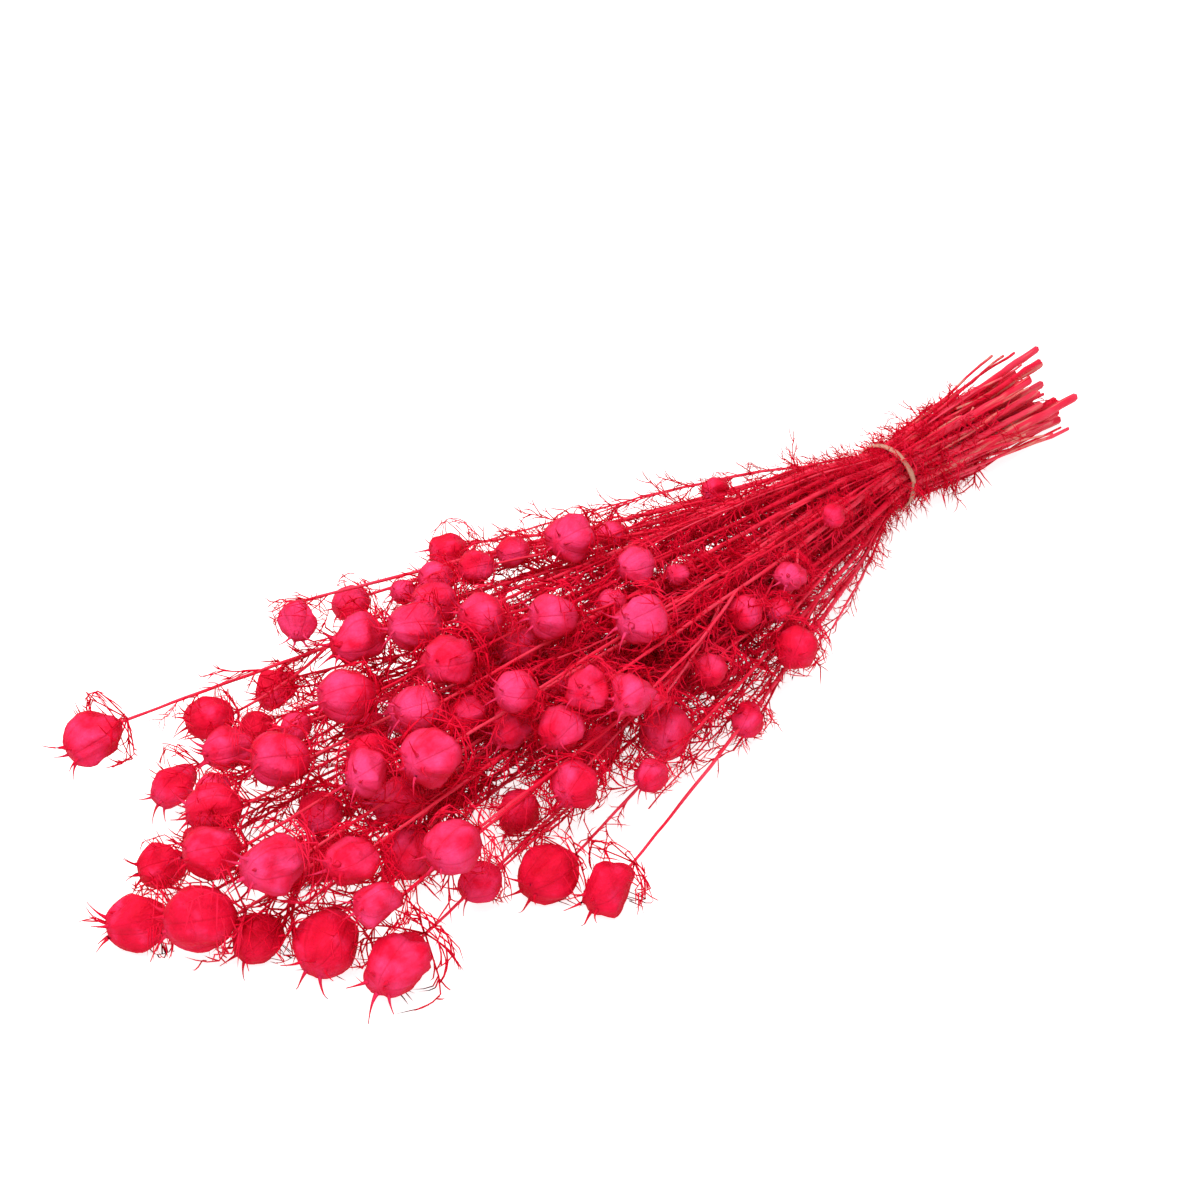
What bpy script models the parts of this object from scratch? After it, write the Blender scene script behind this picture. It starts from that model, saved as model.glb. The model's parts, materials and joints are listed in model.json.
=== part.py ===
"""A tied bunch of dried love in a mist, lying on a surface.

Each cut stem is one piece with the side shoots, swollen seed pods, horns and thread leaves that grew on it.
The stems pass side by side through one band and fan out to their pods. Sizes are in millimetres until the
meshes are made, in metres with +Z up. The bunch lies along X, pods towards -X and cut ends towards +X,
and the origin is the middle of the base of its box.
"""

import math
import random

import bmesh
import bpy
import numpy as np

MM = 0.001
SEED = 11

# Stems and band
STEM_ROWS = (3, 4, 5, 6, 5, 4, 3)  # stems side by side under the band, row by row from the surface up
STEM_PITCH = 5.0
ROW_RISE = 0.82  # from one row to the next, over the pitch
STEM_WIDTH = 4.6  # at the band and the cut end
STEM_WIDTH_AT_POD = 2.2
STEM_STEP = 48.0
FAN = 0.85  # under 1, the stems spread soonest where they leave the band
STEM_SIDES = 4
CUT_END = (100.0, 136.0)  # how far behind the band the stems were cut
CUT_END_SPREAD = 1.4  # how much wider the cut ends stand than the stems under the band
CUT_END_HEIGHT = 19.3  # of the middle of the cut ends, the lowest of which lie on the surface
BAND_HEIGHT = 26.0
BAND_WIDTH = 3.2
BAND_THICKNESS = 1.2
BAND_SIDES = 24
BAND_RADIUS = 15.9  # inside
BAND_SPRAY = -1

# Side shoots
SHOOT_WIDTH = 2.3
SHOOT_WIDTH_AT_POD = 1.5
SHOOT_LENGTH = (55.0, 100.0)
SHOOT_PARTS = 3
FIRST_FORK = 45.0  # no stem forks nearer to the band

# Pods
POD_LENGTH = 1.12  # over the width
POD_RINGS = ((0.20, 0.74), (0.58, 1.0), (0.92, 0.46))  # share of the length, share of the half width
POD_RIBS = 5
RIB_DEPTH = 0.10
HORN_LENGTH = 0.34  # over the pod's width
HORN_SPREAD = 0.55  # outward share of the horn's direction
CROWN_SHARE = 0.95  # how far along the pod the middle of its top is
PRESSED = 1.4  # how deep a pod that lies on the surface is flattened
SAG = 4.0  # a pod this near the surface lies on it

# Threads
THREAD_WIDTH = 1.0
BRACT_ROOT = 0.1  # how deep in the pod a bract starts, over the pod's width
BRACT_EVERY = 16.0  # of a pod's width, for each thread that curls round it
LEAVES = 72
LEAF_LENGTH = (16.0, 30.0)
LEAF_REACH = (14.0, 110.0, 330.0)  # nearest leaf to the band, end of the leafiest part, furthest leaf
THREAD_SIDES = 3
TRIES = 8

# Hidden pods and the shape of the bunch round them
HIDDEN_PODS = 8
HIDDEN_REACH = (150.0, 400.0)
HIDDEN_HEIGHT = 40.0
HIDDEN_WIDTH = (13, 20)
HIDDEN_ROOM = 2.0
BAND_SPREAD = 18.0  # half the bunch's width at the band
SPREAD = 85.0  # and where it is widest
SPREAD_DISTANCE = 290.0
TIP_SPREAD = 45.0
TIP_DISTANCE = 440.0

# Room kept between pieces
GAP = 0.4
SETTLE_GAP = 0.9
SETTLE_ROUNDS = 600
SMOOTHING = 0.2

# Each row is one stem. Each entry is one pod, the pod at the stem's own end first: distance from the band,
# distance to the side, height of its middle and width. Two more numbers turn a pod: degrees to the side
# and degrees up, from straight along the bunch.
STEMS = (
    ((260, -45, 65, 18), (245, -60, 60, 20), (120, -35, 45, 15)),
    ((330, -25, 60, 24), (210, -35, 60, 22), (75, -22, 46, 11)),
    ((280, -28, 66, 17), (225, -54, 45, 10), (150, -35, 42, 15)),
    ((350, -18, 60, 20), (290, -10, 50, 15), (165, -12, 58, 10)),
    ((310, -2, 66, 18), (235, -5, 68, 20), (198, -5, 56, 12)),
    ((290, 2, 68, 21), (178, -2, 60, 16)),
    ((325, 24, 62, 22), (257, 14, 70, 19), (187, 28, 62, 21)),
    ((280, 30, 70, 21), (227, 50, 62, 15), (157, 33, 55, 12)),
    ((290, 56, 55, 23), (247, 53, 58, 19), (200, 52, 58, 14)),
    ((300, 82, 58, 17, -45, -20), (247, 72, 52, 11), (90, 30, 48, 12)),
    ((266, 86, 48, 16), (237, 64, 56, 15), (215, 72, 54, 17)),
    ((250, -70, 30, 14), (187, -52, 40, 14), (140, -60, 30, 19)),
    ((350, -60, 44, 22), (280, -58, 35, 19), (135, -42, 36, 11)),
    ((385, -58, 40, 19), (270, -46, 48, 19), (245, -46, 32, 15)),
    ((380, -36, 44, 21), (280, -20, 42, 18), (224, -20, 46, 13)),
    ((402, -18, 46, 26), (335, -14, 34, 19), (232, -5, 46, 18)),
    ((410, 12, 38, 21), (330, 12, 46, 16), (243, 10, 48, 17)),
    ((362, 21, 50, 22), (354, 9, 30, 18), (300, 18, 34, 17)),
    ((390, 34, 36, 21, 35, 0), (336, 44, 42, 12), (300, 40, 28, 18)),
    ((360, 60, 35, 20), (336, 74, 28, 13), (290, 60, 24, 18)),
    ((400, 95, 45, 23, 5, -10), (350, 80, 34, 19)),
    ((374, 80, 14, 20), (313, 84, 28, 17)),
    ((295, -92, 14, 23), (177, -64, 14, 16)),
    ((307, -70, 15, 23), (217, -56, 26, 23)),
    ((385, -66, 14, 28), (330, -58, 14, 17), (248, -30, 14, 18)),
    ((395, -36, 14, 26), (340, -24, 16, 20), (290, -44, 14, 18)),
    ((410, -12, 12, 20), (300, -5, 14, 20), (205, -20, 20, 16)),
    ((427, 0, 22, 26, 35, 0), (360, 4, 12, 18), (262, 14, 14, 18)),
    ((437, 28, 13, 23, 30, 0), (312, 30, 14, 20)),
    ((412, 42, 16, 19), (270, 45, 18, 18), (225, 38, 24, 17)),
)

STEM_COLOUR = (0.42, 0.02, 0.10)
BAND_COLOUR = (0.78, 0.62, 0.45)


def unit(vector):
    return vector / np.linalg.norm(vector)


def mix(start, end, share):
    return start + (end - start) * share


def direction(side, up):
    """Straight along the bunch, turned to the side and up by so many degrees."""
    side, up = math.radians(side), math.radians(up)
    return np.array((-math.cos(side) * math.cos(up), math.sin(side) * math.cos(up), math.sin(up)))


def across(axis, roll):
    """Two directions square to an axis and to each other."""
    upright = abs(axis[2]) > 0.9
    first = unit(np.cross(axis, (0.0, 1.0, 0.0) if upright else (0.0, 0.0, 1.0)))
    second = np.cross(axis, first)
    return (
        first * math.cos(roll) + second * math.sin(roll),
        second * math.cos(roll) - first * math.sin(roll),
    )


def band_places():
    """Where each stem passes under the band, from the surface up and from one side to the other."""
    for row, count in enumerate(STEM_ROWS):
        for place in range(count):
            side = (place - (count - 1) / 2) * STEM_PITCH
            yield side, BAND_HEIGHT + (row - (len(STEM_ROWS) - 1) / 2) * STEM_PITCH * ROW_RISE


def stems_in_order():
    """The stems whose pods lie low pass low under the band, and each row keeps its order across the bunch."""
    left = sorted(STEMS, key=lambda pods: pods[0][2])
    for count in STEM_ROWS:
        yield from sorted(left[:count], key=lambda pods: pods[0][1] / pods[0][0])
        left = left[count:]


class Bunch:
    """Points joined in chains, each the middle line of a stem or a shoot, and the pods at the chains' ends."""

    def __init__(self, rng):
        self.rng = rng
        self.points = []
        self.widths = []
        self.fixed = []
        self.tied = []
        self.cut_ends = set()
        self.chains = []
        self.pods = []

    def add_point(self, place, width, fixed=False):
        self.points.append(np.array(place, float))
        self.widths.append(width)
        self.fixed.append(fixed)
        return len(self.points) - 1

    def add_pod(self, spray, base, axis, width):
        self.pods.append((spray, base, axis, width, self.rng.uniform(0, math.tau)))

    def pod_axis(self, pod):
        if len(pod) > 4:
            return direction(*pod[4:])
        outward = math.degrees(math.atan2(pod[1], pod[0]))
        return direction(outward + self.rng.uniform(-22, 22), self.rng.uniform(-8, 8) + (pod[2] - 30) * 0.45)

    def place_pod(self, pod):
        """A pod's axis, the middle of its base and its width. A low pod sinks to the surface."""
        distance, side, height, width = pod[:4]
        if height - width / 2 < SAG:
            height = width / 2 - PRESSED
        axis = self.pod_axis(pod)
        return axis, np.array((-distance, side, height)) - axis * width * POD_LENGTH / 2, width

    def add_stem(self, spray, slot, pods):
        """The stem from its cut end, under the band and on to its own pod."""
        axis, base, width = self.place_pod(pods[0])
        cut = self.rng.uniform(*CUT_END)
        slant = self.rng.uniform(0.94, 1.06)
        end_side = slot[0] * CUT_END_SPREAD * slant
        end_height = CUT_END_HEIGHT + (slot[1] - BAND_HEIGHT) * CUT_END_SPREAD * slant
        under = np.array((0.0, *slot))
        cut_end = np.array((cut, end_side, end_height))
        chain = [self.add_point(cut_end, STEM_WIDTH, True)]
        chain.append(self.add_point(mix(cut_end, under, 0.5), STEM_WIDTH, True))
        for reach in (BAND_WIDTH * 1.5, -BAND_WIDTH * 1.5):
            chain.append(self.add_point((reach, *slot), STEM_WIDTH, True))
        steps = max(3, round(-base[0] / STEM_STEP))
        for step in range(1, steps + 1):
            share = step / steps
            place = mix(under, base, share)
            place[1:] = mix(under[1:], base[1:], share**FAN)
            chain.append(self.add_point(place, mix(STEM_WIDTH, STEM_WIDTH_AT_POD, share)))
        self.chains.append((spray, chain))
        self.cut_ends.add(chain[0])
        self.add_pod(spray, chain[-1], axis, width)
        return chain

    def add_shoot(self, spray, stem, pod):
        """A side shoot from the stem to one more pod."""
        axis, base, width = self.place_pod(pod)
        wanted = max(FIRST_FORK, -base[0] - self.rng.uniform(*SHOOT_LENGTH))
        fork = min(stem[5:-1], key=lambda i: abs(-self.points[i][0] - wanted))
        start = self.points[fork]
        chain = [self.add_point(start, SHOOT_WIDTH)]
        self.tied.append((chain[0], fork))
        for step in range(1, SHOOT_PARTS + 1):
            share = step / SHOOT_PARTS
            place = mix(start, base, share)
            place = place - axis * math.sin(share * math.pi) * 0.10 * np.linalg.norm(base - start)
            chain.append(self.add_point(place, mix(SHOOT_WIDTH, SHOOT_WIDTH_AT_POD, share)))
        chain_end = chain[-1]
        self.points[chain_end] = base
        self.chains.append((spray, chain))
        self.add_pod(spray, chain_end, axis, width)

    def capsules(self):
        """Every stem piece, pod and horn as a rounded rod: its two points, what they hang on, its radius and its spray."""
        ends, offsets, radii, sprays = [], [], [], []
        still = np.zeros(3)
        for spray, chain in self.chains:
            for a, b in zip(chain, chain[1:]):
                ends.append((a, b))
                offsets.append((still, still))
                radii.append(max(self.widths[a], self.widths[b]) / 2)
                sprays.append(spray)
        for spray, base, axis, width, roll in self.pods:
            middle = width * POD_LENGTH / 2
            ends.append((base, base))
            offsets.append((axis * (middle - width * 0.05), axis * (middle + width * 0.05)))
            radii.append(width / 2)
            sprays.append(spray)
            for root, tip in horns(axis, width, roll):
                ends.append((base, base))
                offsets.append((root, mix(root, tip, 0.9)))
                radii.append(width * 0.055)
                sprays.append(spray)
        return np.array(ends), np.array(offsets), np.array(radii), np.array(sprays)


def horns(axis, width, roll):
    """Root and tip of each of a pod's horns, measured from the pod's base."""
    right, up = across(axis, roll)
    top_share, top_width = POD_RINGS[-1]
    for rib in range(POD_RIBS):
        turn = math.tau * rib / POD_RIBS
        outward = right * math.cos(turn) + up * math.sin(turn)
        root = axis * width * POD_LENGTH * top_share + outward * width / 2 * top_width * 0.6
        lean = unit(axis + outward * HORN_SPREAD)
        yield root, root + lean * width * HORN_LENGTH


def nearest(a0, a1, b0, b1):
    """How far along each rod its nearest point to the other rod lies, and the line from there to it."""
    u, v, w = a1 - a0, b1 - b0, a0 - b0
    a = (u * u).sum(-1) + 1e-9
    b = (u * v).sum(-1)
    c = (v * v).sum(-1) + 1e-9
    d = (u * w).sum(-1)
    e = (v * w).sum(-1)
    s = np.clip((b * e - c * d) / (a * c - b * b + 1e-9), 0, 1)
    t = np.clip((b * s + e) / c, 0, 1)
    s = np.clip((b * t - d) / a, 0, 1)
    line = w + u * s[..., None] - v * t[..., None]
    return s, t, line


def settle(bunch):
    """Pushes stems, shoots and pods of different sprays apart until each has room, and off the surface."""
    rest = np.array(bunch.points)
    points = rest.copy()
    fixed = np.array(bunch.fixed)
    ends, offsets, radii, sprays = bunch.capsules()
    first, second = np.triu_indices(len(ends), 1)
    apart = sprays[first] != sprays[second]
    first, second = first[apart], second[apart]
    stretch = np.linalg.norm(offsets[:, 1] - offsets[:, 0], axis=1)
    for turn in range(SETTLE_ROUNDS):
        smooth = SMOOTHING * max(0.0, 1 - turn / (SETTLE_ROUNDS * 0.75))
        a0, a1 = points[ends[:, 0]] + offsets[:, 0], points[ends[:, 1]] + offsets[:, 1]
        if turn % 20 == 0:
            middles = (a0 + a1) / 2
            halves = np.linalg.norm(a1 - a0, axis=1) / 2 + radii + 4
            near = np.linalg.norm(middles[first] - middles[second], axis=1) < halves[first] + halves[second]
            i, j = first[near], second[near]
        s, t, line = nearest(a0[i], a1[i], a0[j], a1[j])
        length = np.linalg.norm(line, axis=1) + 1e-6
        short = radii[i] + radii[j] + SETTLE_GAP - length
        hit = short > 0
        push = line[hit] / length[hit, None] * short[hit, None] * 0.5
        moved = np.zeros_like(points)
        counts = np.zeros(len(points))
        for rods, share, sign in ((i[hit], s[hit], 1), (j[hit], t[hit], -1)):
            for end, weight in ((0, 1 - share), (1, share)):
                np.add.at(moved, ends[rods, end], push * (sign * weight)[:, None])
                np.add.at(counts, ends[rods, end], weight)
        points += moved / np.maximum(counts, 1)[:, None] * 1.2
        low = np.full(len(points), -1e9)
        for end in (0, 1):
            np.maximum.at(low, ends[:, end], radii - np.where(stretch > 0, PRESSED, 0) - offsets[:, end, 2])
        shift = points - rest
        for _, chain in bunch.chains:
            own = shift[chain]
            own[1:-1] = own[1:-1] * (1 - 2 * smooth) + (own[:-2] + own[2:]) * smooth
            shift[chain] = own
        for child, parent in bunch.tied:
            shift[child] = shift[parent]
        shift[fixed] = 0
        points = rest + shift
        points[:, 2] = np.where(fixed, points[:, 2], np.maximum(points[:, 2], low))
    bunch.points = list(points)
    print("Narrowest gap between two stems, in mm:", round(float(SETTLE_GAP - short.max()), 2))


def half_width(distance):
    """How far the bunch spreads to each side at a distance from the band."""
    if distance < SPREAD_DISTANCE:
        return mix(BAND_SPREAD, SPREAD, distance / SPREAD_DISTANCE)
    return mix(SPREAD, TIP_SPREAD, (distance - SPREAD_DISTANCE) / (TIP_DISTANCE - SPREAD_DISTANCE))


def add_hidden_pods(bunch, stems, rng):
    """Pods inside and under the bunch, each wherever there is room and on the stem that passes nearest."""
    centres = [np.array((-d, s, h)) for pods in STEMS for d, s, h in (pod[:3] for pod in pods)]
    widths = [pod[3] for pods in STEMS for pod in pods]
    added = 0
    while added < HIDDEN_PODS:
        distance = rng.uniform(*HIDDEN_REACH)
        side = rng.uniform(-0.85, 0.85) * half_width(distance)
        width = rng.randint(*HIDDEN_WIDTH)
        height = rng.uniform(width / 2, HIDDEN_HEIGHT)
        centre = np.array((-distance, side, height))
        room = [np.linalg.norm(centre - c) - (width + w) / 2 for c, w in zip(centres, widths)]
        if min(room) < HIDDEN_ROOM:
            continue
        centres.append(centre)
        widths.append(width)
        behind = centre + (sum(SHOOT_LENGTH) / 2, -side * 0.25, 0)
        spray, stem = min(
            stems, key=lambda pair: min(np.linalg.norm(bunch.points[i] - behind) for i in pair[1][5:-1])
        )
        bunch.add_shoot(spray, stem, (distance, side, height, width))
        added += 1


class Room:
    """The rods that threads have to keep clear of, with the threads that are already in place."""

    def __init__(self, bunch):
        ends, offsets, radii, sprays = bunch.capsules()
        points = np.array(bunch.points)
        self.first = points[ends[:, 0]] + offsets[:, 0]
        self.second = points[ends[:, 1]] + offsets[:, 1]
        self.radii = radii
        self.sprays = sprays
        corners = [band_point(turn, BAND_RADIUS) for turn in range(BAND_SIDES + 1)]
        for a, b in zip(corners, corners[1:]):
            self.add((a, b), BAND_WIDTH, BAND_SPRAY)

    def add(self, line, radius, spray):
        for a, b in zip(line, line[1:]):
            self.first = np.vstack((self.first, a))
            self.second = np.vstack((self.second, b))
            self.radii = np.append(self.radii, radius)
            self.sprays = np.append(self.sprays, spray)

    def clear(self, line, radius, spray):
        if min(point[2] for point in line) < radius:
            return False
        others = self.sprays != spray
        for a, b in zip(line, line[1:]):
            gaps = np.linalg.norm(nearest(a, b, self.first[others], self.second[others])[2], axis=1)
            if (gaps < self.radii[others] + radius + GAP).any():
                return False
        return True


def band_point(turn, radius, reach=0.0):
    angle = math.tau * turn / BAND_SIDES
    return np.array((reach, math.cos(angle) * radius, BAND_HEIGHT + math.sin(angle) * radius))


def add_bracts(bunch, room, rng):
    """The threads that rise from below each pod and curl over it."""
    threads = []
    for spray, base, axis, width, roll in bunch.pods:
        root = bunch.points[base]
        bracts = max(1, round(width / BRACT_EVERY))
        for bract in range(bracts):
            for _ in range(TRIES):
                turn = roll + math.tau * (bract / bracts + rng.uniform(-0.2, 0.2))
                outward = across(axis, turn)[0]
                bend = root + outward * width * rng.uniform(0.5, 0.62) + axis * width * rng.uniform(0.0, 0.25)
                tip = root + outward * width * rng.uniform(0.5, 0.85) + axis * width * rng.uniform(0.8, 1.15)
                line = (root + axis * width * BRACT_ROOT, bend, tip)
                if room.clear(line, THREAD_WIDTH / 2, spray):
                    room.add(line, THREAD_WIDTH / 2, spray)
                    threads.append((spray, line))
                    break
    return threads


def add_leaves(bunch, room, rng):
    """Thread leaves, thickest where the stems leave the band."""
    pieces = [(spray, a, b) for spray, chain in bunch.chains for a, b in zip(chain, chain[1:])]
    threads = []
    while len(threads) < LEAVES:
        spray, a, b = rng.choice(pieces)
        root = mix(bunch.points[a], bunch.points[b], rng.random())
        distance = -root[0]
        if not LEAF_REACH[0] < distance < rng.choice(LEAF_REACH[1:]):
            continue
        outward = unit(root * (0, 1, 1) - (0, 0, BAND_HEIGHT))
        length = rng.uniform(*LEAF_LENGTH)
        loose = np.array([rng.gauss(0, 0.45) for _ in range(3)])
        along = unit(outward + loose + direction(0, 0) * rng.uniform(0.2, 1.0))
        curl = unit(along + direction(0, 0) * 0.5 + np.array([rng.gauss(0, 0.5) for _ in range(3)]))
        bend = root + along * length * 0.55
        line = (root, bend, bend + curl * length * 0.45)
        if room.clear(line, THREAD_WIDTH / 2, spray):
            room.add(line, THREAD_WIDTH / 2, spray)
            threads.append((spray, line))
    return threads


def tube(points, widths, sides, pointed=False):
    """Corners and faces of a closed round rod along some points, with a flat or a pointed end."""
    points = [np.array(point) for point in points]
    corners, faces = [], []
    side = None
    for i, point in enumerate(points):
        ahead = unit(points[min(i + 1, len(points) - 1)] - points[max(i - 1, 0)])
        side = across(ahead, 0.0)[0] if side is None else unit(side - ahead * side.dot(ahead))
        other = np.cross(ahead, side)
        if pointed and i == len(points) - 1:
            corners.append(point)
            break
        for turn in range(sides):
            angle = math.tau * turn / sides
            corners.append(point + (side * math.cos(angle) + other * math.sin(angle)) * widths[i] / 2)
    faces.append(tuple(reversed(range(sides))))
    rings = len(points) - pointed
    for ring in range(rings - 1):
        for turn in range(sides):
            a, b = ring * sides + turn, ring * sides + (turn + 1) % sides
            faces.append((a, b, b + sides, a + sides))
    last = (rings - 1) * sides
    if pointed:
        faces += [(last + turn, last + (turn + 1) % sides, last + sides) for turn in range(sides)]
    else:
        faces.append(tuple(range(last, last + sides)))
    return corners, faces


def pod_shape(base, axis, width, roll):
    """Corners and faces of a swollen pod with five ribs, each ending in a horn."""
    right, up = across(axis, roll)
    length = width * POD_LENGTH
    count = POD_RIBS * 2
    corners = [base - axis * 0.2]
    for share, wide in POD_RINGS:
        for turn in range(count):
            angle = math.tau * turn / count
            radius = width / 2 * wide * (1 - RIB_DEPTH * (turn % 2))
            outward = right * math.cos(angle) + up * math.sin(angle)
            corners.append(base + axis * length * share + outward * radius)
    faces = [(0, 1 + (turn + 1) % count, 1 + turn) for turn in range(count)]
    for ring in range(len(POD_RINGS) - 1):
        for turn in range(count):
            a, b = 1 + ring * count + turn, 1 + ring * count + (turn + 1) % count
            faces.append((a, b, b + count, a + count))
    top = 1 + (len(POD_RINGS) - 1) * count
    middle = len(corners)
    corners.append(base + axis * length * CROWN_SHARE)
    for rib, (_, tip) in enumerate(horns(axis, width, roll)):
        before, here, after = (top + (2 * rib + step) % count for step in (-1, 0, 1))
        corners.append(base + tip)
        point = len(corners) - 1
        faces += [(before, here, point), (here, after, point), (after, middle, point), (middle, before, point)]
    return corners, faces


def band_shape():
    """A flat ring round the stems."""
    half = BAND_WIDTH / 2
    outline = ((BAND_RADIUS, -half), (BAND_RADIUS + BAND_THICKNESS, -half))
    outline += ((BAND_RADIUS + BAND_THICKNESS, half), (BAND_RADIUS, half))
    corners = [band_point(turn, radius, reach) for turn in range(BAND_SIDES) for radius, reach in outline]
    faces = []
    for turn in range(BAND_SIDES):
        for corner in range(4):
            a, b = turn * 4 + corner, turn * 4 + (corner + 1) % 4
            c, d = (turn + 1) % BAND_SIDES * 4 + (corner + 1) % 4, (turn + 1) % BAND_SIDES * 4 + corner
            faces.append((a, b, c, d))
    return corners, faces


def material(name, colour, roughness):
    made = bpy.data.materials.new(name)
    made.use_nodes = True
    shader = made.node_tree.nodes["Principled BSDF"]
    shader.inputs["Base Color"].default_value = (*colour, 1.0)
    shader.inputs["Roughness"].default_value = roughness
    shader.inputs["Metallic"].default_value = 0.0
    return made


def make_object(name, shape, collection):
    corners, faces = shape
    mesh = bpy.data.meshes.new(name)
    mesh.from_pydata([tuple(corner * MM) for corner in corners], [], faces)
    trim = bmesh.new()
    trim.from_mesh(mesh)
    flatten(trim)
    bmesh.ops.recalc_face_normals(trim, faces=trim.faces)
    trim.to_mesh(mesh)
    trim.free()
    made = bpy.data.objects.new(name, mesh)
    collection.objects.link(made)
    return made


def flatten(mesh):
    """Cuts off what reaches below the surface and closes the cut."""
    if min(corner.co.z for corner in mesh.verts) >= 0:
        return
    whole = mesh.verts[:] + mesh.edges[:] + mesh.faces[:]
    cut = bmesh.ops.bisect_plane(mesh, geom=whole, plane_co=(0, 0, 0), plane_no=(0, 0, -1), clear_outer=True)
    edges = [piece for piece in cut["geom_cut"] if isinstance(piece, bmesh.types.BMEdge)]
    bmesh.ops.contextual_create(mesh, geom=edges)


def join(name, shapes, slot):
    """One solid from a stem and everything that grew on it."""
    parts = bpy.data.collections.new(name + " parts")
    bpy.context.scene.collection.children.link(parts)
    made = make_object(name, shapes[0], bpy.context.scene.collection)
    for number, shape in enumerate(shapes[1:]):
        make_object(f"{name} part {number}", shape, parts)
    union = made.modifiers.new("Join", "BOOLEAN")
    union.operation = "UNION"
    union.operand_type = "COLLECTION"
    union.collection = parts
    union.solver = "MANIFOLD"
    joined = bpy.data.meshes.new_from_object(made.evaluated_get(bpy.context.evaluated_depsgraph_get()))
    made.modifiers.clear()
    made.data = joined
    for part in list(parts.objects):
        bpy.data.objects.remove(part)
    bpy.data.collections.remove(parts)
    joined.materials.clear()
    joined.materials.append(slot)
    return made


def main():
    for thing in list(bpy.data.objects):
        bpy.data.objects.remove(thing)
    rng = random.Random(SEED)
    bunch = Bunch(rng)
    stems = []
    for spray, (slot, pods) in enumerate(zip(band_places(), stems_in_order())):
        stem = bunch.add_stem(spray, slot, pods)
        stems.append((spray, stem))
        for pod in pods[1:]:
            bunch.add_shoot(spray, stem, pod)
    add_hidden_pods(bunch, stems, rng)
    settle(bunch)
    room = Room(bunch)
    threads = add_bracts(bunch, room, rng)
    threads += add_leaves(bunch, room, rng)

    shapes = {spray: [] for spray, _ in stems}
    ends = {base: axis * width * 0.3 for _, base, axis, width, _ in bunch.pods}
    for spray, chain in bunch.chains:
        line = [bunch.points[i] for i in chain] + [bunch.points[chain[-1]] + ends[chain[-1]]]
        widths = [bunch.widths[i] for i in chain] + [bunch.widths[chain[-1]]]
        shapes[spray].append(tube(line, widths, STEM_SIDES if chain[0] in bunch.cut_ends else THREAD_SIDES))
    for spray, base, axis, width, roll in bunch.pods:
        shapes[spray].append(pod_shape(bunch.points[base], axis, width, roll))
    for spray, line in threads:
        shapes[spray].append(tube(line, (THREAD_WIDTH, THREAD_WIDTH), THREAD_SIDES, pointed=True))

    stem_slot = material("dyed stem and pod", STEM_COLOUR, 0.6)
    for spray, parts in shapes.items():
        join(f"spray_{spray + 1:02d}", parts, stem_slot)
    band = make_object("tie_band", band_shape(), bpy.context.scene.collection)
    band.data.materials.append(material("band", BAND_COLOUR, 0.7))

    made = list(bpy.context.scene.collection.objects)
    corners = np.array([corner.co for thing in made for corner in thing.data.vertices])
    middle = (corners.min(0) + corners.max(0)) / 2
    for thing in made:
        for corner in thing.data.vertices:
            corner.co.x -= middle[0]
            corner.co.y -= middle[1]
    print("Pods:", len(bunch.pods), "threads:", len(threads), "band at:", [round(-float(x), 4) for x in middle[:2]])


main()
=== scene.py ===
import json
import random
from math import atan2, cos, degrees, exp, pi, radians, sin, sqrt, tau

import bpy
import numpy as np
from mathutils import Matrix, Vector, noise

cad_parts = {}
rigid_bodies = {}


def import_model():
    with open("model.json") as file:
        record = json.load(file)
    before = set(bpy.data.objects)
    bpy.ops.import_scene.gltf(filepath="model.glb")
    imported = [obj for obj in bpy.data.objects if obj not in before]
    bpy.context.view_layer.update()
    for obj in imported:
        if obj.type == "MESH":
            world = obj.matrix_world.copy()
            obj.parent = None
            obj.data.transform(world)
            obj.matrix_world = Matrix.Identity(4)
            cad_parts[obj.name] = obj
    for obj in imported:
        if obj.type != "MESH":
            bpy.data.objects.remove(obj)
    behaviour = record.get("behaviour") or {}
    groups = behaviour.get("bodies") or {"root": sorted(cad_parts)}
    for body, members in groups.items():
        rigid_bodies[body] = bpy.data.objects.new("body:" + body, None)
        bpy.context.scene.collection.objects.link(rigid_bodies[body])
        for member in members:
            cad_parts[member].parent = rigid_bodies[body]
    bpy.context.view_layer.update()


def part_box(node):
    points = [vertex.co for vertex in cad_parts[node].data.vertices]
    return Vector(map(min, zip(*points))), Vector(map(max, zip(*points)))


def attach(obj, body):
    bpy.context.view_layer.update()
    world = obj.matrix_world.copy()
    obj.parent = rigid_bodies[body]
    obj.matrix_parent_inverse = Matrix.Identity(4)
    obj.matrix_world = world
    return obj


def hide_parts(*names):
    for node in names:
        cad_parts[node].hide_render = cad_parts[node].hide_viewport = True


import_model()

print("Frame loaded")

mm = 0.001

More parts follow.
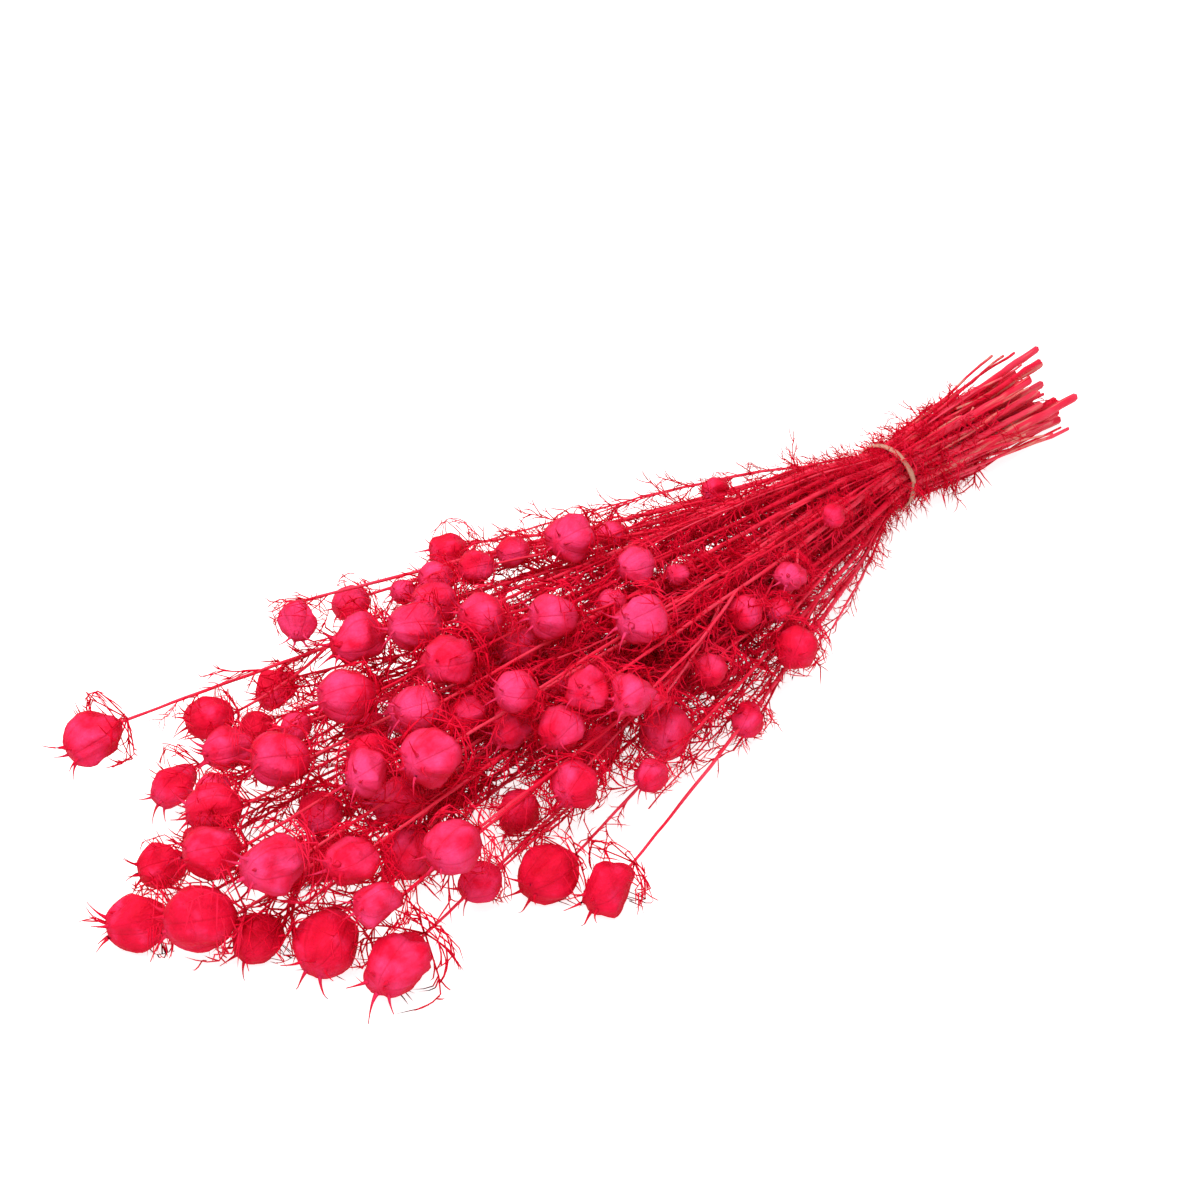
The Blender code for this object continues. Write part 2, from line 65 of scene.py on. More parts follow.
# How the bunch grew: the same layout as the solids, in millimetres until the meshes are made.
# Each row is one stem. Each entry is one pod, the stem's own first: distance from the band, distance to the
# side, height of its middle and width, and for some the degrees to the side and up that it is turned.
stemList = (
    ((260, -45, 65, 18), (245, -60, 60, 20), (120, -35, 45, 15)),
    ((330, -25, 60, 24), (210, -35, 60, 22), (75, -22, 46, 11)),
    ((280, -28, 66, 17), (225, -54, 45, 10), (150, -35, 42, 15)),
    ((350, -18, 60, 20), (290, -10, 50, 15), (165, -12, 58, 10)),
    ((310, -2, 66, 18), (235, -5, 68, 20), (198, -5, 56, 12)),
    ((290, 2, 68, 21), (178, -2, 60, 16)),
    ((325, 24, 62, 22), (257, 14, 70, 19), (187, 28, 62, 21)),
    ((280, 30, 70, 21), (227, 50, 62, 15), (157, 33, 55, 12)),
    ((290, 56, 55, 23), (247, 53, 58, 19), (200, 52, 58, 14)),
    ((300, 82, 58, 17, -45, -20), (247, 72, 52, 11), (90, 30, 48, 12)),
    ((266, 86, 48, 16), (237, 64, 56, 15), (215, 72, 54, 17)),
    ((250, -70, 30, 14), (187, -52, 40, 14), (140, -60, 30, 19)),
    ((350, -60, 44, 22), (280, -58, 35, 19), (135, -42, 36, 11)),
    ((385, -58, 40, 19), (270, -46, 48, 19), (245, -46, 32, 15)),
    ((380, -36, 44, 21), (280, -20, 42, 18), (224, -20, 46, 13)),
    ((402, -18, 46, 26), (335, -14, 34, 19), (232, -5, 46, 18)),
    ((410, 12, 38, 21), (330, 12, 46, 16), (243, 10, 48, 17)),
    ((362, 21, 50, 22), (354, 9, 30, 18), (300, 18, 34, 17)),
    ((390, 34, 36, 21, 35, 0), (336, 44, 42, 12), (300, 40, 28, 18)),
    ((360, 60, 35, 20), (336, 74, 28, 13), (290, 60, 24, 18)),
    ((400, 95, 45, 23, 5, -10), (350, 80, 34, 19)),
    ((374, 80, 14, 20), (313, 84, 28, 17)),
    ((295, -92, 14, 23), (177, -64, 14, 16)),
    ((307, -70, 15, 23), (217, -56, 26, 23)),
    ((385, -66, 14, 28), (330, -58, 14, 17), (248, -30, 14, 18)),
    ((395, -36, 14, 26), (340, -24, 16, 20), (290, -44, 14, 18)),
    ((410, -12, 12, 20), (300, -5, 14, 20), (205, -20, 20, 16)),
    ((427, 0, 22, 26, 35, 0), (360, 4, 12, 18), (262, 14, 14, 18)),
    ((437, 28, 13, 23, 30, 0), (312, 30, 14, 20)),
    ((412, 42, 16, 19), (270, 45, 18, 18), (225, 38, 24, 17)),
)

growth = {
    "seed": 11,
    "stemRows": (3, 4, 5, 6, 5, 4, 3),  # stems side by side under the band, from the surface up
    "stemPitch": 5.0,
    "rowRise": 0.82,  # from one row to the next, over the pitch
    "stemWidth": 4.6,  # at the band and the cut end
    "stemWidthAtPod": 2.2,
    "stemStep": 48.0,
    "fan": 0.85,  # under 1, the stems spread soonest where they leave the band
    "cutEnd": (100.0, 136.0),  # how far behind the band the stems were cut
    "cutEndSpread": 1.4,  # how much wider the cut ends stand than the stems under the band
    "cutEndHeight": 19.3,  # of the middle of the cut ends
    "bandHeight": 26.0,
    "bandWidth": 3.2,
    "shootWidth": 2.3,
    "shootWidthAtPod": 1.5,
    "shootLength": (55.0, 100.0),
    "shootParts": 3,
    "firstFork": 45.0,  # no stem forks nearer to the band
    "podLength": 1.12,  # over the width, as the horns are too
    "topShare": 0.92,  # how far along a pod its last wide ring is
    "topWidth": 0.46,
    "hornLength": 0.34,
    "hornSpread": 0.55,  # outward share of the horn's direction
    "pressed": 1.4,  # how deep a pod that lies on the surface is flattened
    "sag": 4.0,  # a pod this near the surface lies on it
    "hiddenPods": 8,
    "hiddenReach": (150.0, 400.0),
    "hiddenHeight": 40.0,
    "hiddenWidth": (13, 20),
    "hiddenRoom": 2.0,
    "bandSpread": 18.0,  # half the bunch's width at the band
    "spread": 85.0,  # and where it is widest
    "spreadDistance": 290.0,
    "tipSpread": 45.0,
    "tipDistance": 440.0,
    "settleGap": 0.9,
    "settleRounds": 600,
    "smoothing": 0.2,
}
podRibs = 5


def unit(vector):
    return vector / np.linalg.norm(vector)


def mix(start, end, share):
    return start + (end - start) * share


# straight along the bunch, turned to the side and up by so many degrees
def direction(side, up):
    side, up = radians(side), radians(up)
    return np.array((-cos(side) * cos(up), sin(side) * cos(up), sin(up)))


# two directions square to an axis and to each other
def across(axis, roll):
    upright = abs(axis[2]) > 0.9
    first = unit(np.cross(axis, (0.0, 1.0, 0.0) if upright else (0.0, 0.0, 1.0)))
    second = np.cross(axis, first)
    return (
        first * cos(roll) + second * sin(roll),
        second * cos(roll) - first * sin(roll),
    )


def bandPlaces():
    for row, count in enumerate(growth["stemRows"]):
        for place in range(count):
            side = (place - (count - 1) / 2) * growth["stemPitch"]
            rise = (row - (len(growth["stemRows"]) - 1) / 2) * growth["stemPitch"] * growth["rowRise"]
            yield side, growth["bandHeight"] + rise


def stemsInOrder():
    left = sorted(stemList, key=lambda pods: pods[0][2])
    for count in growth["stemRows"]:
        yield from sorted(left[:count], key=lambda pods: pods[0][1] / pods[0][0])
        left = left[count:]


# Points joined in chains, each the middle line of a stem or a shoot, and the pods at the chains' ends.
class Bunch:
    def __init__(self, rng):
        self.rng = rng
        self.points = []
        self.widths = []
        self.fixed = []
        self.tied = []
        self.chains = []
        self.pods = []

    def addPoint(self, place, width, fixed=False):
        self.points.append(np.array(place, float))
        self.widths.append(width)
        self.fixed.append(fixed)
        return len(self.points) - 1

    def addPod(self, spray, base, axis, width):
        self.pods.append((spray, base, axis, width, self.rng.uniform(0, tau)))

    def podAxis(self, pod):
        if len(pod) > 4:
            return direction(*pod[4:])
        outward = degrees(atan2(pod[1], pod[0]))
        return direction(outward + self.rng.uniform(-22, 22), self.rng.uniform(-8, 8) + (pod[2] - 30) * 0.45)

    def placePod(self, pod):
        distance, side, height, width = pod[:4]
        if height - width / 2 < growth["sag"]:
            height = width / 2 - growth["pressed"]
        axis = self.podAxis(pod)
        return axis, np.array((-distance, side, height)) - axis * width * growth["podLength"] / 2, width

    def addStem(self, spray, slot, pods):
        axis, base, width = self.placePod(pods[0])
        cut = self.rng.uniform(*growth["cutEnd"])
        slant = self.rng.uniform(0.94, 1.06)
        spread = growth["cutEndSpread"]
        endSide = slot[0] * spread * slant
        endHeight = growth["cutEndHeight"] + (slot[1] - growth["bandHeight"]) * spread * slant
        under = np.array((0.0, *slot))
        cutEnd = np.array((cut, endSide, endHeight))
        thick = growth["stemWidth"]
        chain = [self.addPoint(cutEnd, thick, True)]
        chain.append(self.addPoint(mix(cutEnd, under, 0.5), thick, True))
        for reach in (growth["bandWidth"] * 1.5, -growth["bandWidth"] * 1.5):
            chain.append(self.addPoint((reach, *slot), thick, True))
        steps = max(3, round(-base[0] / growth["stemStep"]))
        for step in range(1, steps + 1):
            share = step / steps
            place = mix(under, base, share)
            place[1:] = mix(under[1:], base[1:], share ** growth["fan"])
            chain.append(self.addPoint(place, mix(thick, growth["stemWidthAtPod"], share)))
        self.chains.append((spray, chain))
        self.addPod(spray, chain[-1], axis, width)
        return chain

    def addShoot(self, spray, stem, pod):
        axis, base, width = self.placePod(pod)
        wanted = max(growth["firstFork"], -base[0] - self.rng.uniform(*growth["shootLength"]))
        fork = min(stem[5:-1], key=lambda i: abs(-self.points[i][0] - wanted))
        start = self.points[fork]
        chain = [self.addPoint(start, growth["shootWidth"])]
        self.tied.append((chain[0], fork))
        parts = growth["shootParts"]
        for step in range(1, parts + 1):
            share = step / parts
            place = mix(start, base, share)
            place = place - axis * sin(share * pi) * 0.10 * np.linalg.norm(base - start)
            chain.append(self.addPoint(place, mix(growth["shootWidth"], growth["shootWidthAtPod"], share)))
        self.points[chain[-1]] = base
        self.chains.append((spray, chain))
        self.addPod(spray, chain[-1], axis, width)

    # every stem piece, pod and horn as a rounded rod
    def capsules(self):
        ends, offsets, radii, sprays = [], [], [], []
        still = np.zeros(3)
        for spray, chain in self.chains:
            for a, b in zip(chain, chain[1:]):
                ends.append((a, b))
                offsets.append((still, still))
                radii.append(max(self.widths[a], self.widths[b]) / 2)
                sprays.append(spray)
        for spray, base, axis, width, roll in self.pods:
            middle = width * growth["podLength"] / 2
            ends.append((base, base))
            offsets.append((axis * (middle - width * 0.05), axis * (middle + width * 0.05)))
            radii.append(width / 2)
            sprays.append(spray)
            for root, tip in horns(axis, width, roll):
                ends.append((base, base))
                offsets.append((root, mix(root, tip, 0.9)))
                radii.append(width * 0.055)
                sprays.append(spray)
        return np.array(ends), np.array(offsets), np.array(radii), np.array(sprays)


def horns(axis, width, roll):
    right, up = across(axis, roll)
    for rib in range(podRibs):
        turn = tau * rib / podRibs
        outward = right * cos(turn) + up * sin(turn)
        root = axis * width * growth["podLength"] * growth["topShare"]
        root = root + outward * width / 2 * growth["topWidth"] * 0.6
        lean = unit(axis + outward * growth["hornSpread"])
        yield root, root + lean * width * growth["hornLength"]


# the nearest points of rods to each other, and the line between them
def nearest(a0, a1, b0, b1):
    u, v, w = a1 - a0, b1 - b0, a0 - b0
    a = (u * u).sum(-1) + 1e-9
    b = (u * v).sum(-1)
    c = (v * v).sum(-1) + 1e-9
    d = (u * w).sum(-1)
    e = (v * w).sum(-1)
    s = np.clip((b * e - c * d) / (a * c - b * b + 1e-9), 0, 1)
    t = np.clip((b * s + e) / c, 0, 1)
    s = np.clip((b * t - d) / a, 0, 1)
    line = w + u * s[..., None] - v * t[..., None]
    return s, t, line


# pushes stems, shoots and pods of different sprays apart, as the solids' layout does
def settle(bunch):
    rest = np.array(bunch.points)
    points = rest.copy()
    fixed = np.array(bunch.fixed)
    ends, offsets, radii, sprays = bunch.capsules()
    first, second = np.triu_indices(len(ends), 1)
    apart = sprays[first] != sprays[second]
    first, second = first[apart], second[apart]
    stretch = np.linalg.norm(offsets[:, 1] - offsets[:, 0], axis=1)
    rounds = growth["settleRounds"]
    for turn in range(rounds):
        smooth = growth["smoothing"] * max(0.0, 1 - turn / (rounds * 0.75))
        a0, a1 = points[ends[:, 0]] + offsets[:, 0], points[ends[:, 1]] + offsets[:, 1]
        if turn % 20 == 0:
            middles = (a0 + a1) / 2
            halves = np.linalg.norm(a1 - a0, axis=1) / 2 + radii + 4
            near = np.linalg.norm(middles[first] - middles[second], axis=1) < halves[first] + halves[second]
            i, j = first[near], second[near]
        s, t, line = nearest(a0[i], a1[i], a0[j], a1[j])
        length = np.linalg.norm(line, axis=1) + 1e-6
        short = radii[i] + radii[j] + growth["settleGap"] - length
        hit = short > 0
        push = line[hit] / length[hit, None] * short[hit, None] * 0.5
        moved = np.zeros_like(points)
        counts = np.zeros(len(points))
        for rods, share, sign in ((i[hit], s[hit], 1), (j[hit], t[hit], -1)):
            for end, weight in ((0, 1 - share), (1, share)):
                np.add.at(moved, ends[rods, end], push * (sign * weight)[:, None])
                np.add.at(counts, ends[rods, end], weight)
        points += moved / np.maximum(counts, 1)[:, None] * 1.2
        low = np.full(len(points), -1e9)
        for end in (0, 1):
            sunk = np.where(stretch > 0, growth["pressed"], 0)
            np.maximum.at(low, ends[:, end], radii - sunk - offsets[:, end, 2])
        shift = points - rest
        for _, chain in bunch.chains:
            own = shift[chain]
            own[1:-1] = own[1:-1] * (1 - 2 * smooth) + (own[:-2] + own[2:]) * smooth
            shift[chain] = own
        for child, parent in bunch.tied:
            shift[child] = shift[parent]
        shift[fixed] = 0
        points = rest + shift
        points[:, 2] = np.where(fixed, points[:, 2], np.maximum(points[:, 2], low))
    bunch.points = list(points)


def halfWidth(distance):
    if distance < growth["spreadDistance"]:
        return mix(growth["bandSpread"], growth["spread"], distance / growth["spreadDistance"])
    share = (distance - growth["spreadDistance"]) / (growth["tipDistance"] - growth["spreadDistance"])
    return mix(growth["spread"], growth["tipSpread"], share)


def addHiddenPods(bunch, stems, rng):
    centres = [np.array((-d, s, h)) for pods in stemList for d, s, h in (pod[:3] for pod in pods)]
    widths = [pod[3] for pods in stemList for pod in pods]
    added = 0
    while added < growth["hiddenPods"]:
        distance = rng.uniform(*growth["hiddenReach"])
        side = rng.uniform(-0.85, 0.85) * halfWidth(distance)
        width = rng.randint(*growth["hiddenWidth"])
        height = rng.uniform(width / 2, growth["hiddenHeight"])
        centre = np.array((-distance, side, height))
        room = [np.linalg.norm(centre - c) - (width + w) / 2 for c, w in zip(centres, widths)]
        if min(room) < growth["hiddenRoom"]:
            continue
        centres.append(centre)
        widths.append(width)
        behind = centre + (sum(growth["shootLength"]) / 2, -side * 0.25, 0)
        spray, stem = min(
            stems, key=lambda pair: min(np.linalg.norm(bunch.points[i] - behind) for i in pair[1][5:-1])
        )
        bunch.addShoot(spray, stem, (distance, side, height, width))
        added += 1


def growBunch():
    rng = random.Random(growth["seed"])
    bunch = Bunch(rng)
    stems = []
    for spray, (slot, pods) in enumerate(zip(bandPlaces(), stemsInOrder())):
        stem = bunch.addStem(spray, slot, pods)
        stems.append((spray, stem))
        for pod in pods[1:]:
            bunch.addShoot(spray, stem, pod)
    addHiddenPods(bunch, stems, rng)
    settle(bunch)
    return bunch


bandLow, bandHigh = (Vector(corner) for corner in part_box("tie_band"))
bandMiddle = (bandLow + bandHigh) / 2
toFrame = np.array((bandMiddle.x, bandMiddle.y, 0.0))  # the band is at x 0, y 0 in the layout
bunch = growBunch()
print("Layout grown:", len(bunch.chains), "stems and shoots,", len(bunch.pods), "pods")


# a node in a tree, with its settings as words and its inputs as values or links
def node(tree, kind, inputs=None, **settings):
    made = tree.nodes.new(kind)
    for name, value in settings.items():
        setattr(made, name, value)
    for name, value in (inputs or {}).items():
        socket = made.inputs[name]
        if isinstance(value, bpy.types.NodeSocket):
            tree.links.new(value, socket)
        else:
            socket.default_value = value
    return made


def maths(tree, operation, *values):
    return node(tree, "ShaderNodeMath", dict(enumerate(values)), operation=operation).outputs[0]


def vectorMaths(tree, operation, *values):
    return node(tree, "ShaderNodeVectorMath", dict(enumerate(values)), operation=operation).outputs[0]


# a value moved from one range to another and kept inside it
def ranged(tree, value, fromRange, toRange):
    numbers = dict(enumerate((value, *fromRange, *toRange)))
    return node(tree, "ShaderNodeMapRange", numbers).outputs[0]


def mixedColor(tree, share, first, second):
    return node(tree, "ShaderNodeMix", {0: share, 6: first, 7: second}, data_type="RGBA").outputs[2]


def placeIn(tree):
    return node(tree, "ShaderNodeTexCoord").outputs["Object"]


def grainAt(tree, place, size, detail=2.0, distortion=0.0):
    inputs = {"Vector": place, "Scale": size, "Detail": detail, "Distortion": distortion}
    return node(tree, "ShaderNodeTexNoise", inputs).outputs[0]


# Closed threads. Each is a line of points with a width at each, three sided and pointed at its tip.
def threadShape(lines):
    corners, faces = [], []
    for points, widths in lines:
        first = len(corners)
        side = None
        for i, point in enumerate(points):
            ahead = unit(points[min(i + 1, len(points) - 1)] - points[max(i - 1, 0)])
            side = across(ahead, 0.0)[0] if side is None else unit(side - ahead * side.dot(ahead))
            if i == len(points) - 1:
                corners.append(point)
                break
            other = np.cross(ahead, side)
            for corner in range(3):
                angle = tau * corner / 3
                corners.append(point + (side * cos(angle) + other * sin(angle)) * widths[i] / 2)
        faces.append((first + 2, first + 1, first))
        for ring in range(len(points) - 2):
            for corner in range(3):
                a, b = first + ring * 3 + corner, first + ring * 3 + (corner + 1) % 3
                faces.append((a, b, b + 3, a + 3))
        last = first + (len(points) - 2) * 3
        faces += [(last + corner, last + (corner + 1) % 3, last + 3) for corner in range(3)]
    return corners, faces


def meshObject(name, corners, faces):
    mesh = bpy.data.meshes.new(name)
    mesh.from_pydata([tuple(corner) for corner in corners], [], faces)
    mesh.shade_smooth()
    return bpy.data.objects.new(name, mesh)


def linked(made):
    bpy.context.scene.collection.objects.link(made)
    return made


# Seed pods, made once at width 1 and placed many times.
podLook = {
    "swell": 1.045,  # share of the solid's width
    "variants": 10,
    "crumpledVariants": 3,
    "around": 35,
    "along": 14,
    "grooveDepth": 0.10,
    "grooveSharpness": 0.6,
    "midribHeight": 0.02,
    "wrinkle": 0.12,
    "crumple": 0.20,
    "facets": 11,
    "facetDepth": 0.155,
    "hornLength": 0.32,
    "hornBase": 0.17,
    "hornTip": 0.015,
    "hornCurl": 0.5,
    "hornSides": 5,
    "hornParts": 7,
}


def podSurface(turn, share, rough, place, lean, fullness, facets):
    wide = max(0.0, sin(pi * min(1.0, share**lean))) ** fullness
    # flat places where the dry paper has sunk in
    for normal, distance in facets:
        outward = cos(turn) * normal[0] + sin(turn) * normal[1]
        height = (share - 0.5) * 2.1 * normal[2]
        if outward > 0.15 and wide * outward + height > distance:
            wide = max(wide * 0.72, (distance - height) / outward)
    lobe = abs(cos(turn * podRibs / 2))
    depth = podLook["grooveDepth"] * min(1.0, share * 3)
    wide *= 1 - depth * (1 - lobe ** podLook["grooveSharpness"])
    toRib = (turn * podRibs / tau + 0.5) % 1 - 0.5
    wide *= 1 + podLook["midribHeight"] * exp(-((toRib / 0.045) ** 2))
    flat = Vector((cos(turn), sin(turn), 0))
    wide *= 1 + noise.noise(flat * 1.1 + Vector((0, 0, share * 1.6)) + place) * rough
    wide *= 1 + noise.noise(flat * 3.2 + Vector((0, 0, share * 1.3)) + place) * rough * 0.7
    wide *= 1 - abs(noise.noise(flat * 5.5 + Vector((0, 0, share * 2.4)) + place)) * rough * 0.6
    return wide / 2


def podVariant(number):
    rng = random.Random(100 + number)
    crumpled = number >= podLook["variants"] - podLook["crumpledVariants"]
    rough = podLook["crumple"] if crumpled else podLook["wrinkle"] * rng.uniform(0.6, 1.5)
    place = Vector([rng.uniform(-50, 50) for _ in range(3)])
    lean, fullness = rng.uniform(0.85, 1.2), rng.uniform(0.45, 0.66)
    deep = podLook["facetDepth"] * (2.2 if crumpled else rng.uniform(0.2, 1.2))
    facets = []
    for _ in range(podLook["facets"]):
        normal = unit(np.array([rng.gauss(0, 1), rng.gauss(0, 1), rng.gauss(0, 0.5)]))
        facets.append((normal, 1 - deep * rng.uniform(0.4, 1.0)))
    around, along = podLook["around"], podLook["along"]
    length = growth["podLength"]
    corners, faces, uvs = [np.array((0, 0, -0.01))], [], []
    for ring in range(1, along):
        share = ring / along
        for step in range(around):
            turn = tau * step / around
            wide = podSurface(turn, share, rough, place, lean, fullness, facets)
            dimple = max(0.0, share - 0.90) * 0.12 * (1 - abs(cos(turn * podRibs / 2)))
            corners.append(np.array((cos(turn) * wide, sin(turn) * wide, (share - dimple) * length)))
    corners.append(np.array((0, 0, length * 0.95)))
    top = len(corners) - 1
    for step in range(around):
        after = (step + 1) % around
        faces.append((0, 1 + after, 1 + step))
        uvs.append(((step + 0.5, 0), (step + 1, 1), (step, 1)))
        for ring in range(along - 2):
            a, b = 1 + ring * around + step, 1 + ring * around + after
            faces.append((a, b, b + around, a + around))
            uvs.append(((step, ring + 1), (step + 1, ring + 1), (step + 1, ring + 2), (step, ring + 2)))
        a = 1 + (along - 2) * around
        faces.append((a + step, a + after, top))
        uvs.append(((step, along - 1), (step + 1, along - 1), (step + 0.5, along)))
    uvs = [tuple((u / around, v / along) for u, v in face) for face in uvs]
    # the horns, one on each lobe
    sides, parts = podLook["hornSides"], podLook["hornParts"]
    for rib in range(podRibs):
        turn = tau * rib / podRibs
        outward = np.array((cos(turn), sin(turn), 0))
        sideways = np.array((-sin(turn), cos(turn), 0)) * rng.uniform(-1.1, 1.1)
        reach = podLook["hornLength"] * rng.uniform(0.75, 1.2)
        root = outward * 0.155 + np.array((0, 0, length * 0.88))
        lean = unit(np.array((0, 0, 1)) + outward * growth["hornSpread"] * rng.uniform(0.3, 1.0))
        first = len(corners)
        for part in range(parts + 1):
            share = part / parts
            point = root + lean * reach * share + (outward + sideways) * podLook["hornCurl"] * reach * share**2.2
            wide = mix(podLook["hornBase"], podLook["hornTip"], min(1.0, share * 1.1) ** 0.3) / 2
            right, up = across(unit(lean + outward * share * 0.5), 0.0)
            for step in range(sides):
                angle = tau * step / sides
                flat = right * cos(angle) + up * sin(angle)
                corners.append(point + flat * wide)
        faces.append(tuple(first + step for step in reversed(range(sides))))
        uvs.append(tuple((rib / podRibs, 0.9) for _ in range(sides)))
        for part in range(parts):
            for step in range(sides):
                a, b = first + part * sides + step, first + part * sides + (step + 1) % sides
                faces.append((a, b, b + sides, a + sides))
                uvs.append(tuple((rib / podRibs, 1 + (part + lift) / parts) for lift in (0, 0, 1, 1)))
        last = first + parts * sides
        faces.append(tuple(last + step for step in range(sides)))
        uvs.append(tuple((rib / podRibs, 2.0) for _ in range(sides)))
    made = meshObject(f"podShape{number}", corners, faces)
    layer = made.data.uv_layers.new(name="podMap")
    layer.data.foreach_set("uv", [value for face in uvs for pair in face for value in pair])
    return made


# The ruff: threads that rise from under a pod and curl round it.
ruffLook = {
    "variants": 6,
    "bracts": 7,
    "sideThreads": 9,
    "threadWidth": 0.036,
    "tipWidth": 0.020,
    "gap": 0.05,
    "clearance": 0.045,
    "height": (0.30, 1.0),
}


def ruffVariant(number):
    rng = random.Random(200 + number)
    lines = []
    for bract in range(ruffLook["bracts"]):
        turn = tau * (bract + rng.uniform(-0.3, 0.3)) / ruffLook["bracts"]
        height = rng.uniform(*ruffLook["height"])
        swing = rng.uniform(-0.5, 0.5)
        gap = ruffLook["gap"] * rng.uniform(0.4, 4.0)

        def spot(share, turnMore=0.0, gapMore=0.0):
            angle = turn + swing * share + turnMore
            level = -0.10 + (height + 0.10) * share
            around = sqrt(max(0.0, sin(pi * min(1.0, max(0.02, level / 1.12) ** 1.1)))) / 2
            wide = max(around, 0.5 * min(1.0, share * 2.2)) + ruffLook["clearance"]
            wide += gap * sin(share * pi) + gapMore
            return np.array((cos(angle) * wide, sin(angle) * wide, level))

        spine = [np.array((0.0, 0.0, -0.12))] + [spot(0.12 + 0.88 * step / 5) for step in range(6)]
        widths = [ruffLook["threadWidth"] * (1 - 0.5 * step / 6) for step in range(7)]
        lines.append((spine, widths))
        for thread in range(ruffLook["sideThreads"]):
            start = rng.uniform(0.10, 0.95)
            lean = rng.choice((-1, 1)) * rng.uniform(0.25, 0.95)
            rise = rng.uniform(-0.15, 0.35)
            lift = rng.uniform(-0.02, 0.20)
            branch = [spot(start)]
            for step in (1, 2, 3):
                along = step / 3
                branch.append(spot(min(1.15, start + rise * along), lean * along, lift * along**1.5))
            lines.append((branch, [ruffLook["threadWidth"] * 0.75] * 2 + [ruffLook["tipWidth"]] * 2))
    return meshObject(f"ruffShape{number}", *threadShape(lines))


# Thread leaves: a bent spine with side threads that split again.
leafLook = {
    "variants": 10,
    "sideThreads": 9,
    "threadWidth": 0.036,
    "bend": 0.38,
}


def leafVariant(number):
    rng = random.Random(300 + number)
    lines = []

    def wander(start, heading, length, parts, bend):
        points = [start]
        for _ in range(parts):
            heading = unit(heading + np.array([rng.gauss(0, bend) for _ in range(3)]))
            points.append(points[-1] + heading * length / parts)
        return points

    spine = wander(np.zeros(3), np.array((0.0, 0.0, 1.0)), 1.0, 5, leafLook["bend"] * 0.5)
    lines.append((spine, [leafLook["threadWidth"] * (1 - 0.4 * step / 5) for step in range(6)]))
    for thread in range(leafLook["sideThreads"]):
        share = (thread + rng.uniform(0.3, 1.0)) / (leafLook["sideThreads"] + 0.5)
        step = min(4, int(share * 5))
        start = mix(spine[step], spine[step + 1], share * 5 - step)
        ahead = unit(spine[step + 1] - spine[step])
        right, up = across(ahead, thread * 2.4 + rng.uniform(-0.4, 0.4))
        heading = unit(ahead * rng.uniform(1.0, 2.2) + right)
        branch = wander(start, heading, rng.uniform(0.3, 0.65) * (1.2 - share * 0.5), 2, leafLook["bend"] * 0.6)
        lines.append((branch, [leafLook["threadWidth"] * 0.75] * 2 + [leafLook["threadWidth"] * 0.5]))
        if thread % 3 < 2:
            heading = unit(heading + up * rng.uniform(-0.8, 0.8))
            fork = wander(branch[1], heading, rng.uniform(0.15, 0.4), 2, leafLook["bend"])
            lines.append((fork, [leafLook["threadWidth"] * 0.6] * 3))
    return meshObject(f"leafShape{number}", *threadShape(lines))


def shapeStore(name, make, count):
    store = bpy.data.collections.new(name)
    for number in range(count):
        store.objects.link(make(number))
    return store


podStore = shapeStore("podShapes", podVariant, podLook["variants"])
ruffStore = shapeStore("ruffShapes", ruffVariant, ruffLook["variants"])
leafStore = shapeStore("leafShapes", leafVariant, leafLook["variants"])
print("Pod, ruff and leaf shapes made")


# The dye that the plant's materials share. It took unevenly: light, middle and dark colours mixed by soft patches,
# and moved towards the light or dark colour by each point's shade value, which on pods is painted light and shade
# by height.
def unevenDye():
    tree = bpy.data.node_groups.new("unevenDye", "ShaderNodeTree")
    for name in ("Light", "Middle", "Dark"):
        tree.interface.new_socket(name=name, in_out="INPUT", socket_type="NodeSocketColor")
    for name in ("Patch size", "Shade", "Contrast"):
        tree.interface.new_socket(name=name, in_out="INPUT", socket_type="NodeSocketFloat")
    tree.interface.new_socket(name="Color", in_out="OUTPUT", socket_type="NodeSocketColor")
    given = tree.nodes.new("NodeGroupInput").outputs
    out = tree.nodes.new("NodeGroupOutput")
    mask = maths(tree, "SUBTRACT", grainAt(tree, placeIn(tree), given["Patch size"], 3.0), 0.5)
    mask = maths(tree, "MULTIPLY_ADD", mask, given["Contrast"], given["Shade"])
    ramp = maths(tree, "MULTIPLY", node(tree, "ShaderNodeClamp", {"Value": mask}).outputs[0], 2.0)
    low = mixedColor(tree, ramp, given["Dark"], given["Middle"])
    high = mixedColor(tree, maths(tree, "SUBTRACT", ramp, 1.0), low, given["Light"])
    tree.links.new(high, out.inputs["Color"])
    return tree


dyeAndPaintedShadeGroup = unevenDye()


# the shared dye with one material's colours, moved by the shade value that the spray's points carry: a random tone
# on stems and threads, painted light and shade by height on pods
def dyedColorAndPaintedShade(tree, look):
    inputs = {"Light": look["light"], "Middle": look["middle"], "Dark": look["dark"]}
    inputs["Patch size"] = look["patchSize"]
    inputs["Contrast"] = look["contrast"]
    inputs["Shade"] = node(tree, "ShaderNodeAttribute", attribute_name="shade").outputs["Fac"]
    return node(tree, "ShaderNodeGroup", inputs, node_tree=dyeAndPaintedShadeGroup).outputs["Color"]


def newMaterial(name, **constants):
    made = bpy.data.materials.new(name)
    made.use_nodes = True
    tree = made.node_tree
    shader = tree.nodes["Principled BSDF"]
    for socket, value in constants.items():
        shader.inputs[socket.replace("_", " ")].default_value = value
    return made, tree, shader


# links a colour, a roughness and a height to the shader
def dress(tree, shader, color, rough, height, look):
    inputs = {"Height": height, "Strength": look["bump"], "Distance": look["bumpDepth"]}
    bump = node(tree, "ShaderNodeBump", inputs).outputs[0]
    for value, socket in ((color, "Base Color"), (rough, "Roughness"), (bump, "Normal")):
        if value is not None:
            tree.links.new(value, shader.inputs[socket])


